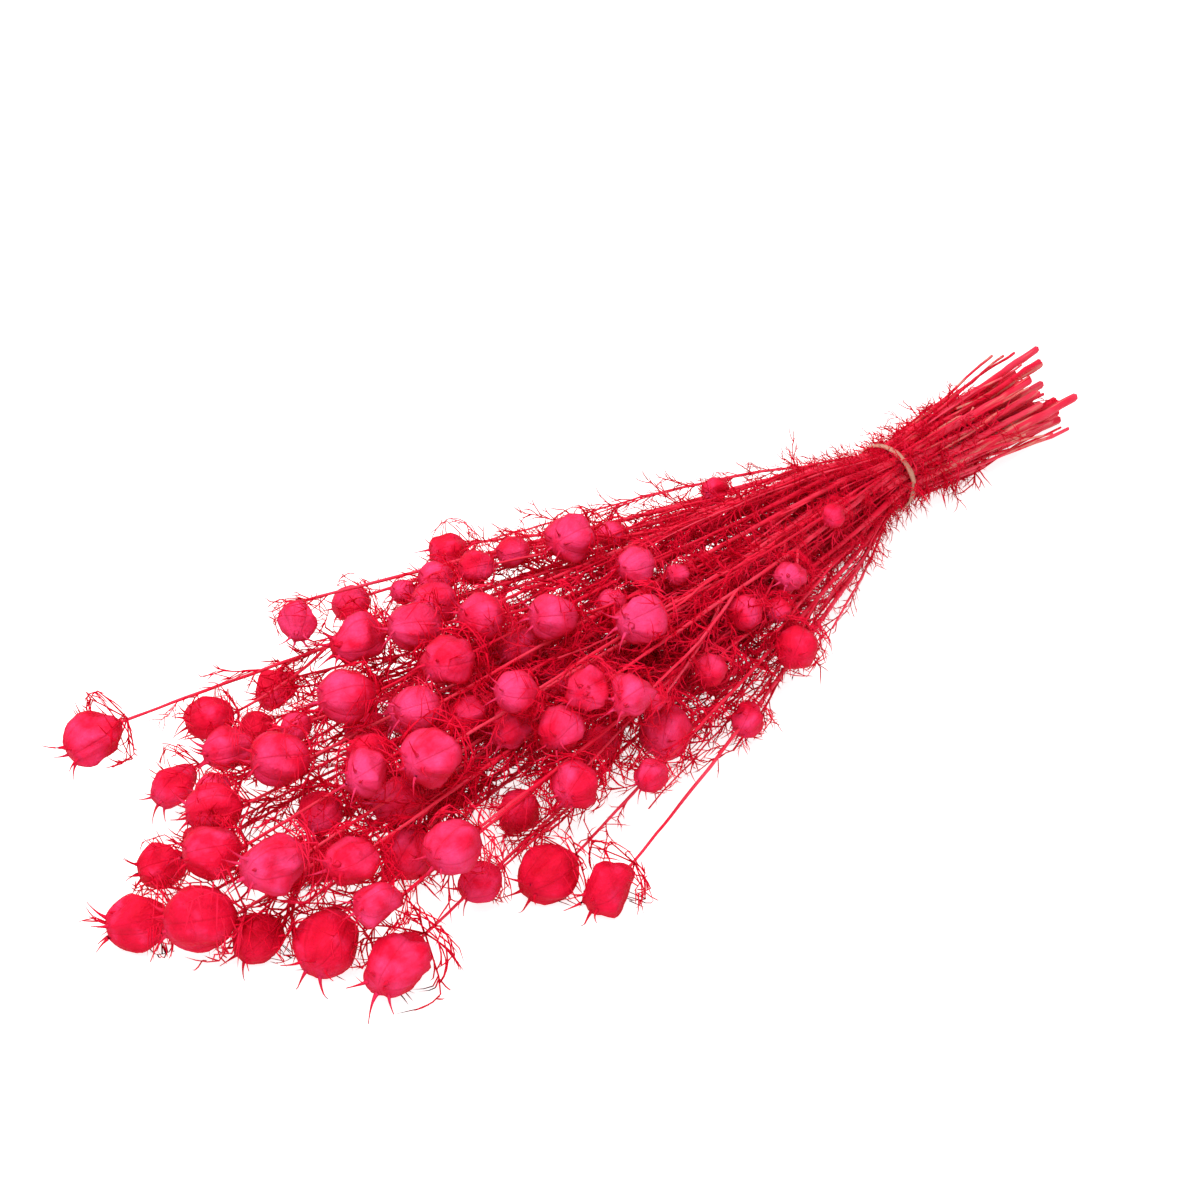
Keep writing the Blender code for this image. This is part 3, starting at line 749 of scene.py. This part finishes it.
podPaper = {
    # besides the dye's patches, the light and dark colours here are painted light on high pods and painted shade
    # on low ones
    "light": (1.0, 0.062, 0.225, 1),
    "middle": (0.90, 0.007, 0.056, 1),
    "dark": (0.66, 0.001, 0.022, 1),
    "vein": (0.50, 0.001, 0.015, 1),
    # painted shade on the pods' edges that turn away from the camera
    "rimShade": (0.62, 0.001, 0.018, 1),
    "horn": (0.60, 0.001, 0.020, 1),
    "patchSize": 95.0,
    "contrast": 1.7,
    "veinDepth": 0.42,
    "grooveSharpness": 20.0,
    "ribSharpness": 24.0,
    "netSharpness": 7.0,
    "netSize": (26.0, 7.0, 1.0),  # cells round a pod and along it
    "rimShadeBlend": 0.45,
    "rimShadeShare": 0.95,
    "hornFrom": (1.2, 1.9),  # along the pod's map, where 1 is a horn's root and 2 its tip
    "hornShare": 0.7,
    "roughness": 0.55,
    "grainSize": 900.0,
    "grainDepth": 0.25,
    "creaseSize": 210.0,
    "creaseDepth": 5.0,
    "bump": 0.4,
    "bumpDepth": 0.0007,
}


def podMaterial():
    made, tree, shader = newMaterial(
        "dyedPodPaper", Subsurface_Weight=0.15, Subsurface_Scale=0.003, Specular_IOR_Level=0.1
    )
    shader.inputs["Subsurface Radius"].default_value = (1.0, 0.1, 0.25)
    podMap = node(tree, "ShaderNodeUVMap", uv_map="podMap").outputs[0]
    parts = node(tree, "ShaderNodeSeparateXYZ", {"Vector": podMap})

    # from 0 in the middle of a line to 1 beside it
    def line(value, sharpness, softness=0.4):
        return maths(tree, "SMOOTH_MIN", maths(tree, "MULTIPLY", value, sharpness), 1.0, softness)

    # veins: one dark line in each groove, one on each lobe, and a fine net between them
    turn = maths(tree, "MULTIPLY", parts.outputs["X"], float(podRibs))
    groove = maths(tree, "ABSOLUTE", maths(tree, "SUBTRACT", maths(tree, "FRACT", turn), 0.5))
    rib = maths(tree, "SUBTRACT", 0.5, groove)
    scaled = vectorMaths(tree, "MULTIPLY", podMap, podPaper["netSize"])
    net = node(tree, "ShaderNodeTexVoronoi", {"Vector": scaled, "Scale": 1.0}, feature="DISTANCE_TO_EDGE")
    ribLine = maths(tree, "MULTIPLY_ADD", line(rib, podPaper["ribSharpness"]), 0.35, 0.65)
    netLine = line(net.outputs["Distance"], podPaper["netSharpness"], 0.3)
    netLine = maths(tree, "MULTIPLY_ADD", netLine, 0.25, 0.75)
    veins = maths(tree, "MULTIPLY", line(groove, podPaper["grooveSharpness"]), ribLine)
    veins = maths(tree, "MULTIPLY", veins, netLine)
    veinShare = maths(tree, "MULTIPLY_ADD", veins, podPaper["veinDepth"], 1 - podPaper["veinDepth"])
    color = mixedColor(tree, veinShare, podPaper["vein"], dyedColorAndPaintedShade(tree, podPaper))
    # painted shade: the paper is darkened where it turns away from the camera, to round the pods, and the horns
    # are darker
    rimShadeMask = node(tree, "ShaderNodeLayerWeight", {"Blend": podPaper["rimShadeBlend"]}).outputs["Facing"]
    color = mixedColor(tree, maths(tree, "MULTIPLY", rimShadeMask, podPaper["rimShadeShare"]), color, podPaper["rimShade"])
    hornShare = ranged(tree, parts.outputs["Y"], podPaper["hornFrom"], (0.0, podPaper["hornShare"]))
    color = mixedColor(tree, hornShare, color, podPaper["horn"])
    grain = grainAt(tree, placeIn(tree), podPaper["grainSize"])
    creases = maths(tree, "SUBTRACT", grainAt(tree, placeIn(tree), podPaper["creaseSize"], 3.0, 1.2), 0.5)
    height = maths(tree, "MULTIPLY_ADD", grain, podPaper["grainDepth"], veins)
    height = maths(tree, "MULTIPLY_ADD", maths(tree, "ABSOLUTE", creases), podPaper["creaseDepth"], height)
    rough = maths(tree, "MULTIPLY_ADD", grain, podPaper["grainDepth"], podPaper["roughness"])
    dress(tree, shader, color, rough, height, podPaper)
    return made


stemDye = {
    "light": (0.92, 0.062, 0.120, 1),
    "middle": (0.84, 0.009, 0.045, 1),
    "dark": (0.60, 0.002, 0.022, 1),
    "patchSize": 40.0,
    "contrast": 1.3,
    "straw": (0.74, 0.34, 0.26, 1),
    "strawFrom": (0.15, 0.20),  # metres along X, where undyed streaks begin and where they are full
    "strawStreaks": (0.53, 0.64),  # how strong a streak is before straw shows in it
    "strawShare": 0.75,
    "streakSize": (18.0, 420.0, 420.0),
    "roughness": 0.38,
    "bump": 0.5,
    "bumpDepth": 0.0004,
}


def stemMaterial():
    made, tree, shader = newMaterial("dyedStem", Specular_IOR_Level=0.1)
    place = placeIn(tree)
    along = node(tree, "ShaderNodeMapping", {"Vector": place, "Scale": stemDye["streakSize"]}).outputs[0]
    streaks = grainAt(tree, along, 1.0, 4.0)
    x = node(tree, "ShaderNodeSeparateXYZ", {"Vector": place}).outputs["X"]
    nearEnd = ranged(tree, x, stemDye["strawFrom"], (0.0, 1.0))
    bare = ranged(tree, streaks, stemDye["strawStreaks"], (0.0, stemDye["strawShare"]))
    straw = maths(tree, "MULTIPLY", nearEnd, bare)
    color = mixedColor(tree, straw, dyedColorAndPaintedShade(tree, stemDye), stemDye["straw"])
    dress(tree, shader, color, maths(tree, "MULTIPLY_ADD", streaks, 0.3, stemDye["roughness"]), streaks, stemDye)
    return made


threadDye = {
    "light": (0.94, 0.016, 0.065, 1),
    "middle": (0.86, 0.004, 0.036, 1),
    "dark": (0.66, 0.001, 0.018, 1),
    "patchSize": 90.0,
    "contrast": 1.4,
    "grainSize": 1500.0,
    "roughness": 0.5,
    "bump": 0.3,
    "bumpDepth": 0.0002,
}


def threadMaterial():
    made, tree, shader = newMaterial("dyedThreads", Specular_IOR_Level=0.04)
    grain = grainAt(tree, placeIn(tree), threadDye["grainSize"])
    rough = maths(tree, "MULTIPLY_ADD", grain, 0.2, threadDye["roughness"])
    dress(tree, shader, dyedColorAndPaintedShade(tree, threadDye), rough, grain, threadDye)
    return made


# One tree grows every spray: stems from its lines, pods and ruffs on its points, leaves along its stems.
sprayLook = {
    "resample": 0.006,
    "stemSides": 3,
    "stemRidge": 0.86,
    "wobble": 0.0012,
    "wobbleSize": 38.0,
    "knotSize": 70.0,
    "knotSwell": (0.5, 0.75),  # how much a knot adds to the stem's width, and the share it starts from
    "leafSpacing": 0.0102,
    "leafLength": 0.023,
    "leafLengths": (0.6, 1.3),  # shares of it
    "neck": (0.05, 0.13),  # metres in front of the band, from the fewest leaves to all
    "leavesInNeck": 0.22,  # share of leaves kept inside the bundle there
    "behindFrom": -0.014,  # metres in front of the band
    "thinning": (-0.085, -0.04),  # where they grow few towards the cut ends
    "leavesAtCutEnd": 0.05,
    "leavesBehind": 0.9,  # share of leaves kept on the cut side of the band
    "top": (0.040, 0.062),  # heights between which the topmost stems begin
    "leavesOnTop": 0.6,  # share of leaves kept on them
    "sizeRange": (0.01, 0.15),  # metres in front of the band, from the size at the band to full size
    "sizeAtBand": 0.62,
    "sizeBehind": 0.72,
    "depth": (0.012, 0.055),  # heights between which leaves go from the deep size to the top size
    "sizeDeep": 1.9,
    "sizeOnTop": 0.75,
    "sizeAtEdge": 0.85,
    "leafForward": 2.0,
    "leafInward": 0.35,
    "leafOutward": -0.45,  # beside the band, where leaves curl over it
    "outwardReach": 0.055,
    "leafStray": 0.95,
    "floor": 0.0002,  # nothing reaches below it
}

# what the tree is given: each input's name, its kind and its value
sprayInputs = (
    ("Pods", "Collection", podStore),
    ("Ruffs", "Collection", ruffStore),
    ("Leaves", "Collection", leafStore),
    ("Stem material", "Material", stemMaterial()),
    ("Pod material", "Material", podMaterial()),
    ("Thread material", "Material", threadMaterial()),
    ("Resample", "Float", sprayLook["resample"]),
    ("Wobble", "Float", sprayLook["wobble"]),
    ("Leaf spacing", "Float", sprayLook["leafSpacing"]),
    ("Leaf length", "Float", sprayLook["leafLength"]),
    ("Band at", "Float", bandMiddle.x),
    ("Seed", "Int", 1),
)


def sprayTree():
    tree = bpy.data.node_groups.new("growSpray", "GeometryNodeTree")
    tree.interface.new_socket(name="Geometry", in_out="INPUT", socket_type="NodeSocketGeometry")
    for name, kind, _ in sprayInputs:
        tree.interface.new_socket(name=name, in_out="INPUT", socket_type="NodeSocket" + kind)
    tree.interface.new_socket(name="Geometry", in_out="OUTPUT", socket_type="NodeSocketGeometry")
    given = tree.nodes.new("NodeGroupInput").outputs

    # the first output of a new node
    def made(kind, inputs=None, **settings):
        return node(tree, kind, inputs, **settings).outputs[0]

    def attribute(name, kind="FLOAT"):
        return node(tree, "GeometryNodeInputNamedAttribute", {"Name": name}, data_type=kind).outputs["Attribute"]

    def seedAt(offset):
        return maths(tree, "ADD", given["Seed"], float(offset))

    def randomValue(low, high, offset):
        return node(tree, "FunctionNodeRandomValue", {2: low, 3: high, "Seed": seedAt(offset)}).outputs[1]

    def randomIndex(offset):
        inputs = {4: 0, 5: 1000, "Seed": seedAt(offset)}
        return node(tree, "FunctionNodeRandomValue", inputs, data_type="INT").outputs[2]

    def choose(which, no, yes):
        return made("GeometryNodeSwitch", {"Switch": which, "False": no, "True": yes}, input_type="FLOAT")

    def evenly(value):
        return made("ShaderNodeCombineXYZ", {"X": value, "Y": value, "Z": value})

    # copies of a collection's shapes on points, each shape picked by a number
    def instances(points, shapes, pick, rotation, size):
        source = made(
            "GeometryNodeCollectionInfo", {"Collection": shapes, "Separate Children": True, "Reset Children": True}
        )
        inputs = {"Points": points, "Instance": source, "Pick Instance": True, "Instance Index": pick}
        inputs.update({"Rotation": rotation, "Scale": evenly(size)})
        return made("GeometryNodeInstanceOnPoints", inputs)

    def shaded(geometry, low, high, offset):
        inputs = {"Geometry": geometry, "Name": "shade", "Value": randomValue(low, high, offset)}
        return made("GeometryNodeStoreNamedAttribute", inputs, domain="INSTANCE", data_type="FLOAT")

    def finish(geometry, material):
        real = made("GeometryNodeRealizeInstances", {"Geometry": geometry})
        return made("GeometryNodeSetMaterial", {"Geometry": real, "Material": material})

    # the stems
    isPod = made("FunctionNodeCompare", {0: attribute("isPod"), 1: 0.5}, operation="GREATER_THAN")
    split = node(tree, "GeometryNodeSeparateGeometry", {"Geometry": given["Geometry"], "Selection": isPod}).outputs
    curve = made("GeometryNodeMeshToCurve", {"Mesh": split[1]})
    curve = made("GeometryNodeCurveSplineType", {"Curve": curve}, spline_type="CATMULL_ROM")
    curve = made("GeometryNodeResampleCurve", {"Curve": curve, "Length": given["Resample"]}, mode="LENGTH")
    place = made("GeometryNodeInputPosition")
    waves = node(tree, "ShaderNodeTexNoise", {"Vector": place, "Scale": sprayLook["wobbleSize"], "Detail": 2.0})
    drift = vectorMaths(tree, "SUBTRACT", waves.outputs["Color"], (0.5, 0.5, 0.5))
    for much in (given["Wobble"], attribute("loose")):
        drift = made("ShaderNodeVectorMath", {0: drift, "Scale": much}, operation="SCALE")
    curve = made("GeometryNodeSetPosition", {"Geometry": curve, "Offset": drift})
    swell = maths(tree, "MULTIPLY_ADD", grainAt(tree, place, sprayLook["knotSize"], 1.0), *sprayLook["knotSwell"])
    radius = maths(tree, "MULTIPLY", maths(tree, "MULTIPLY", attribute("width"), 0.5), swell)
    inputs = {"Points": sprayLook["stemSides"], "Inner Radius": sprayLook["stemRidge"], "Outer Radius": 1.0}
    profile = made("GeometryNodeCurveStar", inputs)
    inputs = {"Curve": curve, "Profile Curve": profile, "Scale": radius, "Fill Caps": True}
    stems = made("GeometryNodeCurveToMesh", inputs)
    stems = made("GeometryNodeSetShadeSmooth", {"Geometry": stems, "Shade Smooth": True})
    stems = made("GeometryNodeSetMaterial", {"Geometry": stems, "Material": given["Stem material"]})

    # which of the places along them hold a leaf
    inputs = {"Curve": curve, "Length": given["Leaf spacing"]}
    along = node(tree, "GeometryNodeCurveToPoints", inputs, mode="LENGTH").outputs
    parts = node(tree, "ShaderNodeSeparateXYZ", {"Vector": place}).outputs
    ahead = maths(tree, "SUBTRACT", given["Band at"], parts["X"])
    behind = made("FunctionNodeCompare", {0: ahead, 1: sprayLook["behindFrom"]}, operation="LESS_THAN")
    inward = attribute("inward", "FLOAT_VECTOR")
    toEdge = node(tree, "ShaderNodeVectorMath", {0: inward}, operation="LENGTH").outputs["Value"]
    keep = ranged(tree, ahead, sprayLook["neck"], (sprayLook["leavesInNeck"], 1.0))
    keep = maths(tree, "MAXIMUM", keep, toEdge)
    few = (sprayLook["leavesAtCutEnd"], sprayLook["leavesBehind"])
    keep = choose(behind, keep, ranged(tree, ahead, sprayLook["thinning"], few))
    onTop = ranged(tree, parts["Z"], sprayLook["top"], (1.0, sprayLook["leavesOnTop"]))
    keep = maths(tree, "MULTIPLY", maths(tree, "MULTIPLY", keep, attribute("crowd")), onTop)
    drop = made("FunctionNodeCompare", {0: randomValue(0.0, 1.0, 3), 1: keep}, operation="GREATER_THAN")
    spots = made("GeometryNodeDeleteGeometry", {"Geometry": along["Points"], "Selection": drop})

    # where they point and how large they are
    fromBand = maths(tree, "ABSOLUTE", maths(tree, "ADD", ahead, 0.004))
    outward = (sprayLook["leafOutward"], sprayLook["leafInward"])
    pull = evenly(ranged(tree, fromBand, (0.0, sprayLook["outwardReach"]), outward))
    forward = vectorMaths(tree, "MULTIPLY", along["Tangent"], (sprayLook["leafForward"],) * 3)
    heading = vectorMaths(tree, "ADD", forward, vectorMaths(tree, "MULTIPLY", inward, pull))
    inputs = {0: (-1.0, -1.0, -1.0), 1: (1.0, 1.0, 1.0), "Seed": seedAt(5)}
    stray = made("FunctionNodeRandomValue", inputs, data_type="FLOAT_VECTOR")
    stray = vectorMaths(tree, "MULTIPLY", stray, (sprayLook["leafStray"],) * 3)
    heading = vectorMaths(tree, "ADD", heading, stray)
    rolled = made("ShaderNodeCombineXYZ", {"Z": randomValue(0.0, tau, 9)})
    rolled = made("FunctionNodeEulerToRotation", {"Euler": rolled})
    turned = made("FunctionNodeAlignRotationToVector", {"Rotation": rolled, "Vector": heading}, axis="Z")
    deep = ranged(tree, parts["Z"], sprayLook["depth"], (sprayLook["sizeDeep"], sprayLook["sizeOnTop"]))
    deep = made("ShaderNodeMix", {0: toEdge, 2: deep, 3: sprayLook["sizeAtEdge"]}, data_type="FLOAT")
    nearBand = ranged(tree, ahead, sprayLook["sizeRange"], (sprayLook["sizeAtBand"], 1.0))
    nearBand = choose(behind, nearBand, sprayLook["sizeBehind"])
    size = maths(tree, "MULTIPLY", given["Leaf length"], randomValue(*sprayLook["leafLengths"], 7))
    size = maths(tree, "MULTIPLY", size, maths(tree, "MULTIPLY", deep, nearBand))
    leaves = shaded(instances(spots, given["Leaves"], randomIndex(11), turned, size), 0.1, 0.95, 13)
    leaves = finish(leaves, given["Thread material"])

    # pods and ruffs
    points = made("GeometryNodeMeshToPoints", {"Mesh": split[0]})
    rotation = made("FunctionNodeEulerToRotation", {"Euler": attribute("turned", "FLOAT_VECTOR")})
    width = attribute("width")
    pods = instances(points, given["Pods"], attribute("variant", "INT"), rotation, width)
    pods = finish(pods, given["Pod material"])
    ruffs = shaded(instances(points, given["Ruffs"], randomIndex(17), rotation, width), 0.35, 1.0, 19)
    ruffs = finish(ruffs, given["Thread material"])

    whole = node(tree, "GeometryNodeJoinGeometry")
    for geometry in (ruffs, leaves, pods, stems):
        tree.links.new(geometry, whole.inputs[0])
    ground = made("ShaderNodeCombineXYZ", {"X": -10.0, "Y": -10.0, "Z": sprayLook["floor"]})
    raised = vectorMaths(tree, "MAXIMUM", place, ground)
    whole = made("GeometryNodeSetPosition", {"Geometry": whole.outputs[0], "Position": raised})
    whole = made("GeometryNodeRealizeInstances", {"Geometry": whole})
    out = tree.nodes.new("NodeGroupOutput")
    tree.links.new(whole, out.inputs["Geometry"])
    return tree


stemLook = {
    "narrowed": (0.7, 1.05),  # share of the solid's width at the cut end
    "beyondBand": 0.62,  # and on the pods' side
    "narrowedBy": 45.0,  # mm from the band where it is that narrow
    "shootWidth": 0.75,  # share of the solid's
    "shades": (0.35, 0.85),
    "wobbleFrom": (40.0, 30.0),  # mm per step of looseness, before the band and behind it
    "companions": 4,  # thin stems beside each main one
    "companionWidth": (1.0, 2.0),
    "companionLength": (0.45, 0.95),  # share of the main stem's
    "companionOffset": (1.6, 9.5),  # mm from the main stem, in the band and far from it
    "companionWobble": 3.5,
    "splay": 9.0,  # mm that a thin stem bends away at its cut end
    "crumpled": 0.3,  # share of the pods
    "crowdReach": 34.0,  # mm within which stems and pods are close
    "crowdFrom": 2,
    "crowdRange": 9,
    "edgeReach": 13.0,
}
bunchPoints = np.array(bunch.points)


# how many other stems and pods are close to a place, from 0 to 1, and the way towards them
def crowdAt(place):
    near = np.linalg.norm(bunchPoints - place, axis=1) < stemLook["crowdReach"]
    crowd = min(1.0, max(0.04, (near.sum() - stemLook["crowdFrom"]) / stemLook["crowdRange"]))
    inward = (bunchPoints[near] - place).mean(axis=0) / stemLook["edgeReach"] if near.any() else np.zeros(3)
    inward[0] = 0
    return crowd, inward / max(1.0, np.linalg.norm(inward))


# The lines and points that one spray grows from.
class Wires:
    def __init__(self):
        self.corners, self.edges = [], []
        self.values = {"width": [], "loose": [], "isPod": [], "shade": [], "crowd": [], "variant": []}
        self.vectors = {"turned": [], "inward": []}

    def add(self, place, width, loose, shade, joined=False, isPod=0.0, variant=0, turn=(0.0, 0.0, 0.0)):
        self.corners.append(tuple(place * mm + toFrame))
        crowd, inward = crowdAt(place)
        for name, value in zip(self.values, (width * mm, loose, isPod, shade, crowd, variant)):
            self.values[name].append(value)
        self.vectors["turned"].extend(turn)
        self.vectors["inward"].extend(inward)
        if joined:
            self.edges.append((len(self.corners) - 2, len(self.corners) - 1))

    def addStem(self, chain, pod, narrowed, shade):
        main = bunch.points[chain[0]][0] > 0
        before, behind = stemLook["wobbleFrom"]
        for i, index in enumerate(chain):
            point = bunch.points[index]
            loose = max(min(1.0, -point[0] / before), min(4.0, point[0] / behind), 0.0)
            slim = narrowed if point[0] > 0 else stemLook["beyondBand"]
            slim = mix(1.0, slim, min(1.0, abs(point[0]) / stemLook["narrowedBy"]))
            self.add(point, bunch.widths[index] * (slim if main else stemLook["shootWidth"]), loose, shade, i > 0)
        axis, width, _ = pod
        inside = bunch.points[chain[-1]] + axis * width * 0.2
        self.add(inside, bunch.widths[chain[-1]] * 0.6, 0.0, shade, True)

    def addCompanion(self, chain, first, rng):
        shade = rng.uniform(0.3, 0.95)
        turn = rng.uniform(0, tau)
        last = max(3, int(len(chain) * rng.uniform(*stemLook["companionLength"])))
        wide = rng.uniform(*stemLook["companionWidth"])
        start = rng.uniform(0.0, 0.3) if first else rng.uniform(0.5, 1.3)
        splay = rng.uniform(0.0, 1.0) ** 2 * stemLook["splay"]
        for i in range(last):
            point = bunch.points[chain[i]]
            if i == 0:
                point = mix(point, bunch.points[chain[1]], start)
            far = min(1.0, abs(point[0]) / 120)
            turn += rng.uniform(-0.5, 0.5)
            offset = mix(*stemLook["companionOffset"], far) + splay * max(0.0, point[0] / 110) ** 2
            place = point + np.array((0.0, cos(turn), sin(turn))) * offset
            place[2] = max(place[2], 1.2)
            self.add(place, wide * (1 - 0.45 * i / last), stemLook["companionWobble"] * far, shade, i > 0)

    def addPod(self, base, axis, width, roll, rng):
        right, up = across(axis, roll)
        turn = Matrix((right, up, axis)).transposed().to_euler()
        middle = bunch.points[base] + axis * width * growth["podLength"] / 2
        plain = podLook["variants"] - podLook["crumpledVariants"]
        crumpled = rng.random() < stemLook["crumpled"]
        variant = rng.randrange(plain, podLook["variants"]) if crumpled else rng.randrange(plain)
        # painted light and shade: a pod high in the bunch gets a lighter colour and a low one a darker colour, as
        # if lit from above, with some random tone
        shade = 0.38 + middle[2] / 70 * 0.5 + rng.uniform(-0.18, 0.18)
        width *= podLook["swell"]
        self.add(bunch.points[base], width, 0.0, shade, isPod=1.0, variant=variant, turn=turn)

    def finished(self):
        mesh = bpy.data.meshes.new("sprayWires")
        mesh.from_pydata(self.corners, self.edges, [])
        for name, numbers in self.values.items():
            kind = "INT" if name == "variant" else "FLOAT"
            mesh.attributes.new(name, kind, "POINT").data.foreach_set("value", numbers)
        for name, numbers in self.vectors.items():
            mesh.attributes.new(name, "FLOAT_VECTOR", "POINT").data.foreach_set("vector", numbers)
        return bpy.data.objects.new("sprayWires", mesh)


def sprayWires(spray, rng):
    wires = Wires()
    shade = rng.uniform(*stemLook["shades"])
    narrowed = rng.uniform(*stemLook["narrowed"])
    podOf = {base: (axis, width, roll) for own, base, axis, width, roll in bunch.pods if own == spray}
    chains = [chain for own, chain in bunch.chains if own == spray]
    for chain in chains:
        wires.addStem(chain, podOf[chain[-1]], narrowed, shade + rng.uniform(-0.15, 0.15))
    for chain in chains:
        if bunch.points[chain[0]][0] > 0:
            for companion in range(stemLook["companions"]):
                wires.addCompanion(chain, companion == 0, rng)
    for base, pod in podOf.items():
        wires.addPod(base, *pod, rng)
    return wires.finished()


def growSpray(spray, tree, identifiers, rng):
    wires = linked(sprayWires(spray, rng))
    grow = wires.modifiers.new("grow", "NODES")
    grow.node_group = tree
    for name, _, value in sprayInputs:
        grow[identifiers[name]] = value
    grow[identifiers["Seed"]] = spray * 31 + 5
    graph = bpy.context.evaluated_depsgraph_get()
    mesh = bpy.data.meshes.new_from_object(wires.evaluated_get(graph))
    wires.modifiers.clear()
    bpy.data.objects.remove(wires)
    mesh.name = f"podSpray{spray + 1:02d}"
    return linked(bpy.data.objects.new(mesh.name, mesh))


tree = sprayTree()
identifiers = {item.name: item.identifier for item in tree.interface.items_tree if item.in_out == "INPUT"}
rng = random.Random(growth["seed"] + 1)
triangles = 0
for spray in range(len(stemList)):
    piece = growSpray(spray, tree, identifiers, rng)
    triangles += sum(len(face.vertices) - 2 for face in piece.data.polygons)
    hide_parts(f"spray_{spray + 1:02d}")
    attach(piece, "root")
print("Sprays grown:", triangles, "triangles")
for store in (podStore, ruffStore, leafStore):
    for shape in list(store.objects):
        bpy.data.objects.remove(shape)
    bpy.data.collections.remove(store)

bandLook = {
    "light": (0.66, 0.36, 0.25, 1),
    "dark": (0.46, 0.18, 0.13, 1),
    "roughness": 0.62,
    "grainSize": 700.0,
    "bump": 0.3,
    "bumpDepth": 0.0003,
    "around": 120,
    "sides": 10,
    "thickness": 0.0013,
    "thicknessChange": 0.3,
    "width": 0.0032,
    "widthChange": 0.35,
    "drift": 0.0006,
}


def bandMaterial():
    made, tree, shader = newMaterial("paleBand", Roughness=bandLook["roughness"])
    grain = grainAt(tree, placeIn(tree), bandLook["grainSize"], 3.0)
    dress(tree, shader, mixedColor(tree, grain, bandLook["dark"], bandLook["light"]), None, grain, bandLook)
    return made


# a soft ring round the stems, a little uneven in width and height
def bandPiece():
    around, sides = bandLook["around"], bandLook["sides"]
    inner = (bandHigh.z - bandLow.z) / 2 - bandLook["thickness"]
    corners, faces = [], []
    for step in range(around):
        turn = tau * step / around
        spot = Vector((cos(turn), sin(turn), 0))
        wide = bandLook["width"] * (1 + noise.noise(spot * 2.5) * bandLook["widthChange"]) / 2
        change = noise.noise(spot * 3.5 + Vector((0, 0, 7))) * bandLook["thicknessChange"]
        thick = bandLook["thickness"] * (1 + change) / 2
        drift = noise.noise(spot * 1.3 + Vector((0, 0, 3))) * bandLook["drift"]
        for side in range(sides):
            angle = tau * side / sides
            out = inner + bandLook["thickness"] / 2 + sin(angle) * thick
            x = bandMiddle.x + drift + cos(angle) * wide
            corners.append((x, bandMiddle.y + sin(turn) * out, bandMiddle.z + cos(turn) * out))
    for step in range(around):
        for side in range(sides):
            a, b = step * sides + side, step * sides + (side + 1) % sides
            c, d = (a + sides) % len(corners), (b + sides) % len(corners)
            faces.append((a, b, d, c))
    made = linked(meshObject("tieBand", corners, faces))
    made.data.materials.append(bandMaterial())
    return made


band = bandPiece()
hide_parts("tie_band")
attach(band, "root")
print("Band finished")

# Camera, light and floor, as in the photo.
view = {
    "azimuth": -47.0,
    "elevation": 35.0,
    "distance": 1.23,
    "target": (-0.183, 0.017, 0.040),  # from the band
    "lens": 84.0,
    "sensor": 36.0,
}
light = {
    "world": 0.64,
    "lamps": (  # name, power, size, place
        ("keyLight", 18.0, 1.3, (-0.45, -0.1, 1.4)),
        ("fillLight", 4.0, 1.0, (0.2, 0.9, 1.1)),
    ),
    "aim": (-0.1, 0, 0),
    "floorReach": 20.0,
    "floorColor": (0.6, 0.6, 0.6, 1),
    "floorGlow": 0.85,
    "floorGlowUnseen": (0.5, 0.5, 0.5, 1),  # share of the glow that lights the bunch from below
}


def addCamera():
    azimuth, elevation = radians(view["azimuth"]), radians(view["elevation"])
    level = cos(elevation)
    back = Vector((sin(azimuth) * level, -cos(azimuth) * level, sin(elevation)))
    camera = linked(bpy.data.objects.new("camera", bpy.data.cameras.new("camera")))
    camera.data.sensor_width = view["sensor"]
    camera.data.lens = view["lens"]
    camera.location = Vector(view["target"]) + Vector(toFrame) + back * view["distance"]
    camera.rotation_euler = back.to_track_quat("Z", "Y").to_euler()
    bpy.context.scene.camera = camera


def addLamp(name, power, size, place):
    lamp = bpy.data.lights.new(name, "AREA")
    lamp.size = size
    lamp.energy = power
    made = linked(bpy.data.objects.new(name, lamp))
    made.location = place
    made.rotation_euler = (made.location - Vector(light["aim"])).to_track_quat("Z", "Y").to_euler()


def addFloor():
    reach = light["floorReach"]
    corners = [(-reach, -reach, 0), (reach, -reach, 0), (reach, reach, 0), (-reach, reach, 0)]
    floor = linked(meshObject("floor", corners, [(0, 1, 2, 3)]))
    made, tree, shader = newMaterial("floorWhite", Roughness=0.9)
    shader.inputs["Base Color"].default_value = light["floorColor"]
    shader.inputs["Emission Strength"].default_value = light["floorGlow"]
    # the floor is bright to the camera and lights the bunch from below no more than paper would
    seen = node(tree, "ShaderNodeLightPath").outputs["Is Camera Ray"]
    tree.links.new(mixedColor(tree, seen, light["floorGlowUnseen"], (1, 1, 1, 1)), shader.inputs["Emission Color"])
    floor.data.materials.append(made)


def addWorld():
    world = bpy.data.worlds.new("studio")
    world.use_nodes = True
    background = world.node_tree.nodes["Background"]
    background.inputs["Color"].default_value = (1, 1, 1, 1)
    background.inputs["Strength"].default_value = light["world"]
    bpy.context.scene.world = world


addCamera()
for lamp in light["lamps"]:
    addLamp(*lamp)
addFloor()
addWorld()
bpy.context.scene.view_settings.view_transform = "Standard"
print("Camera, light and floor set")
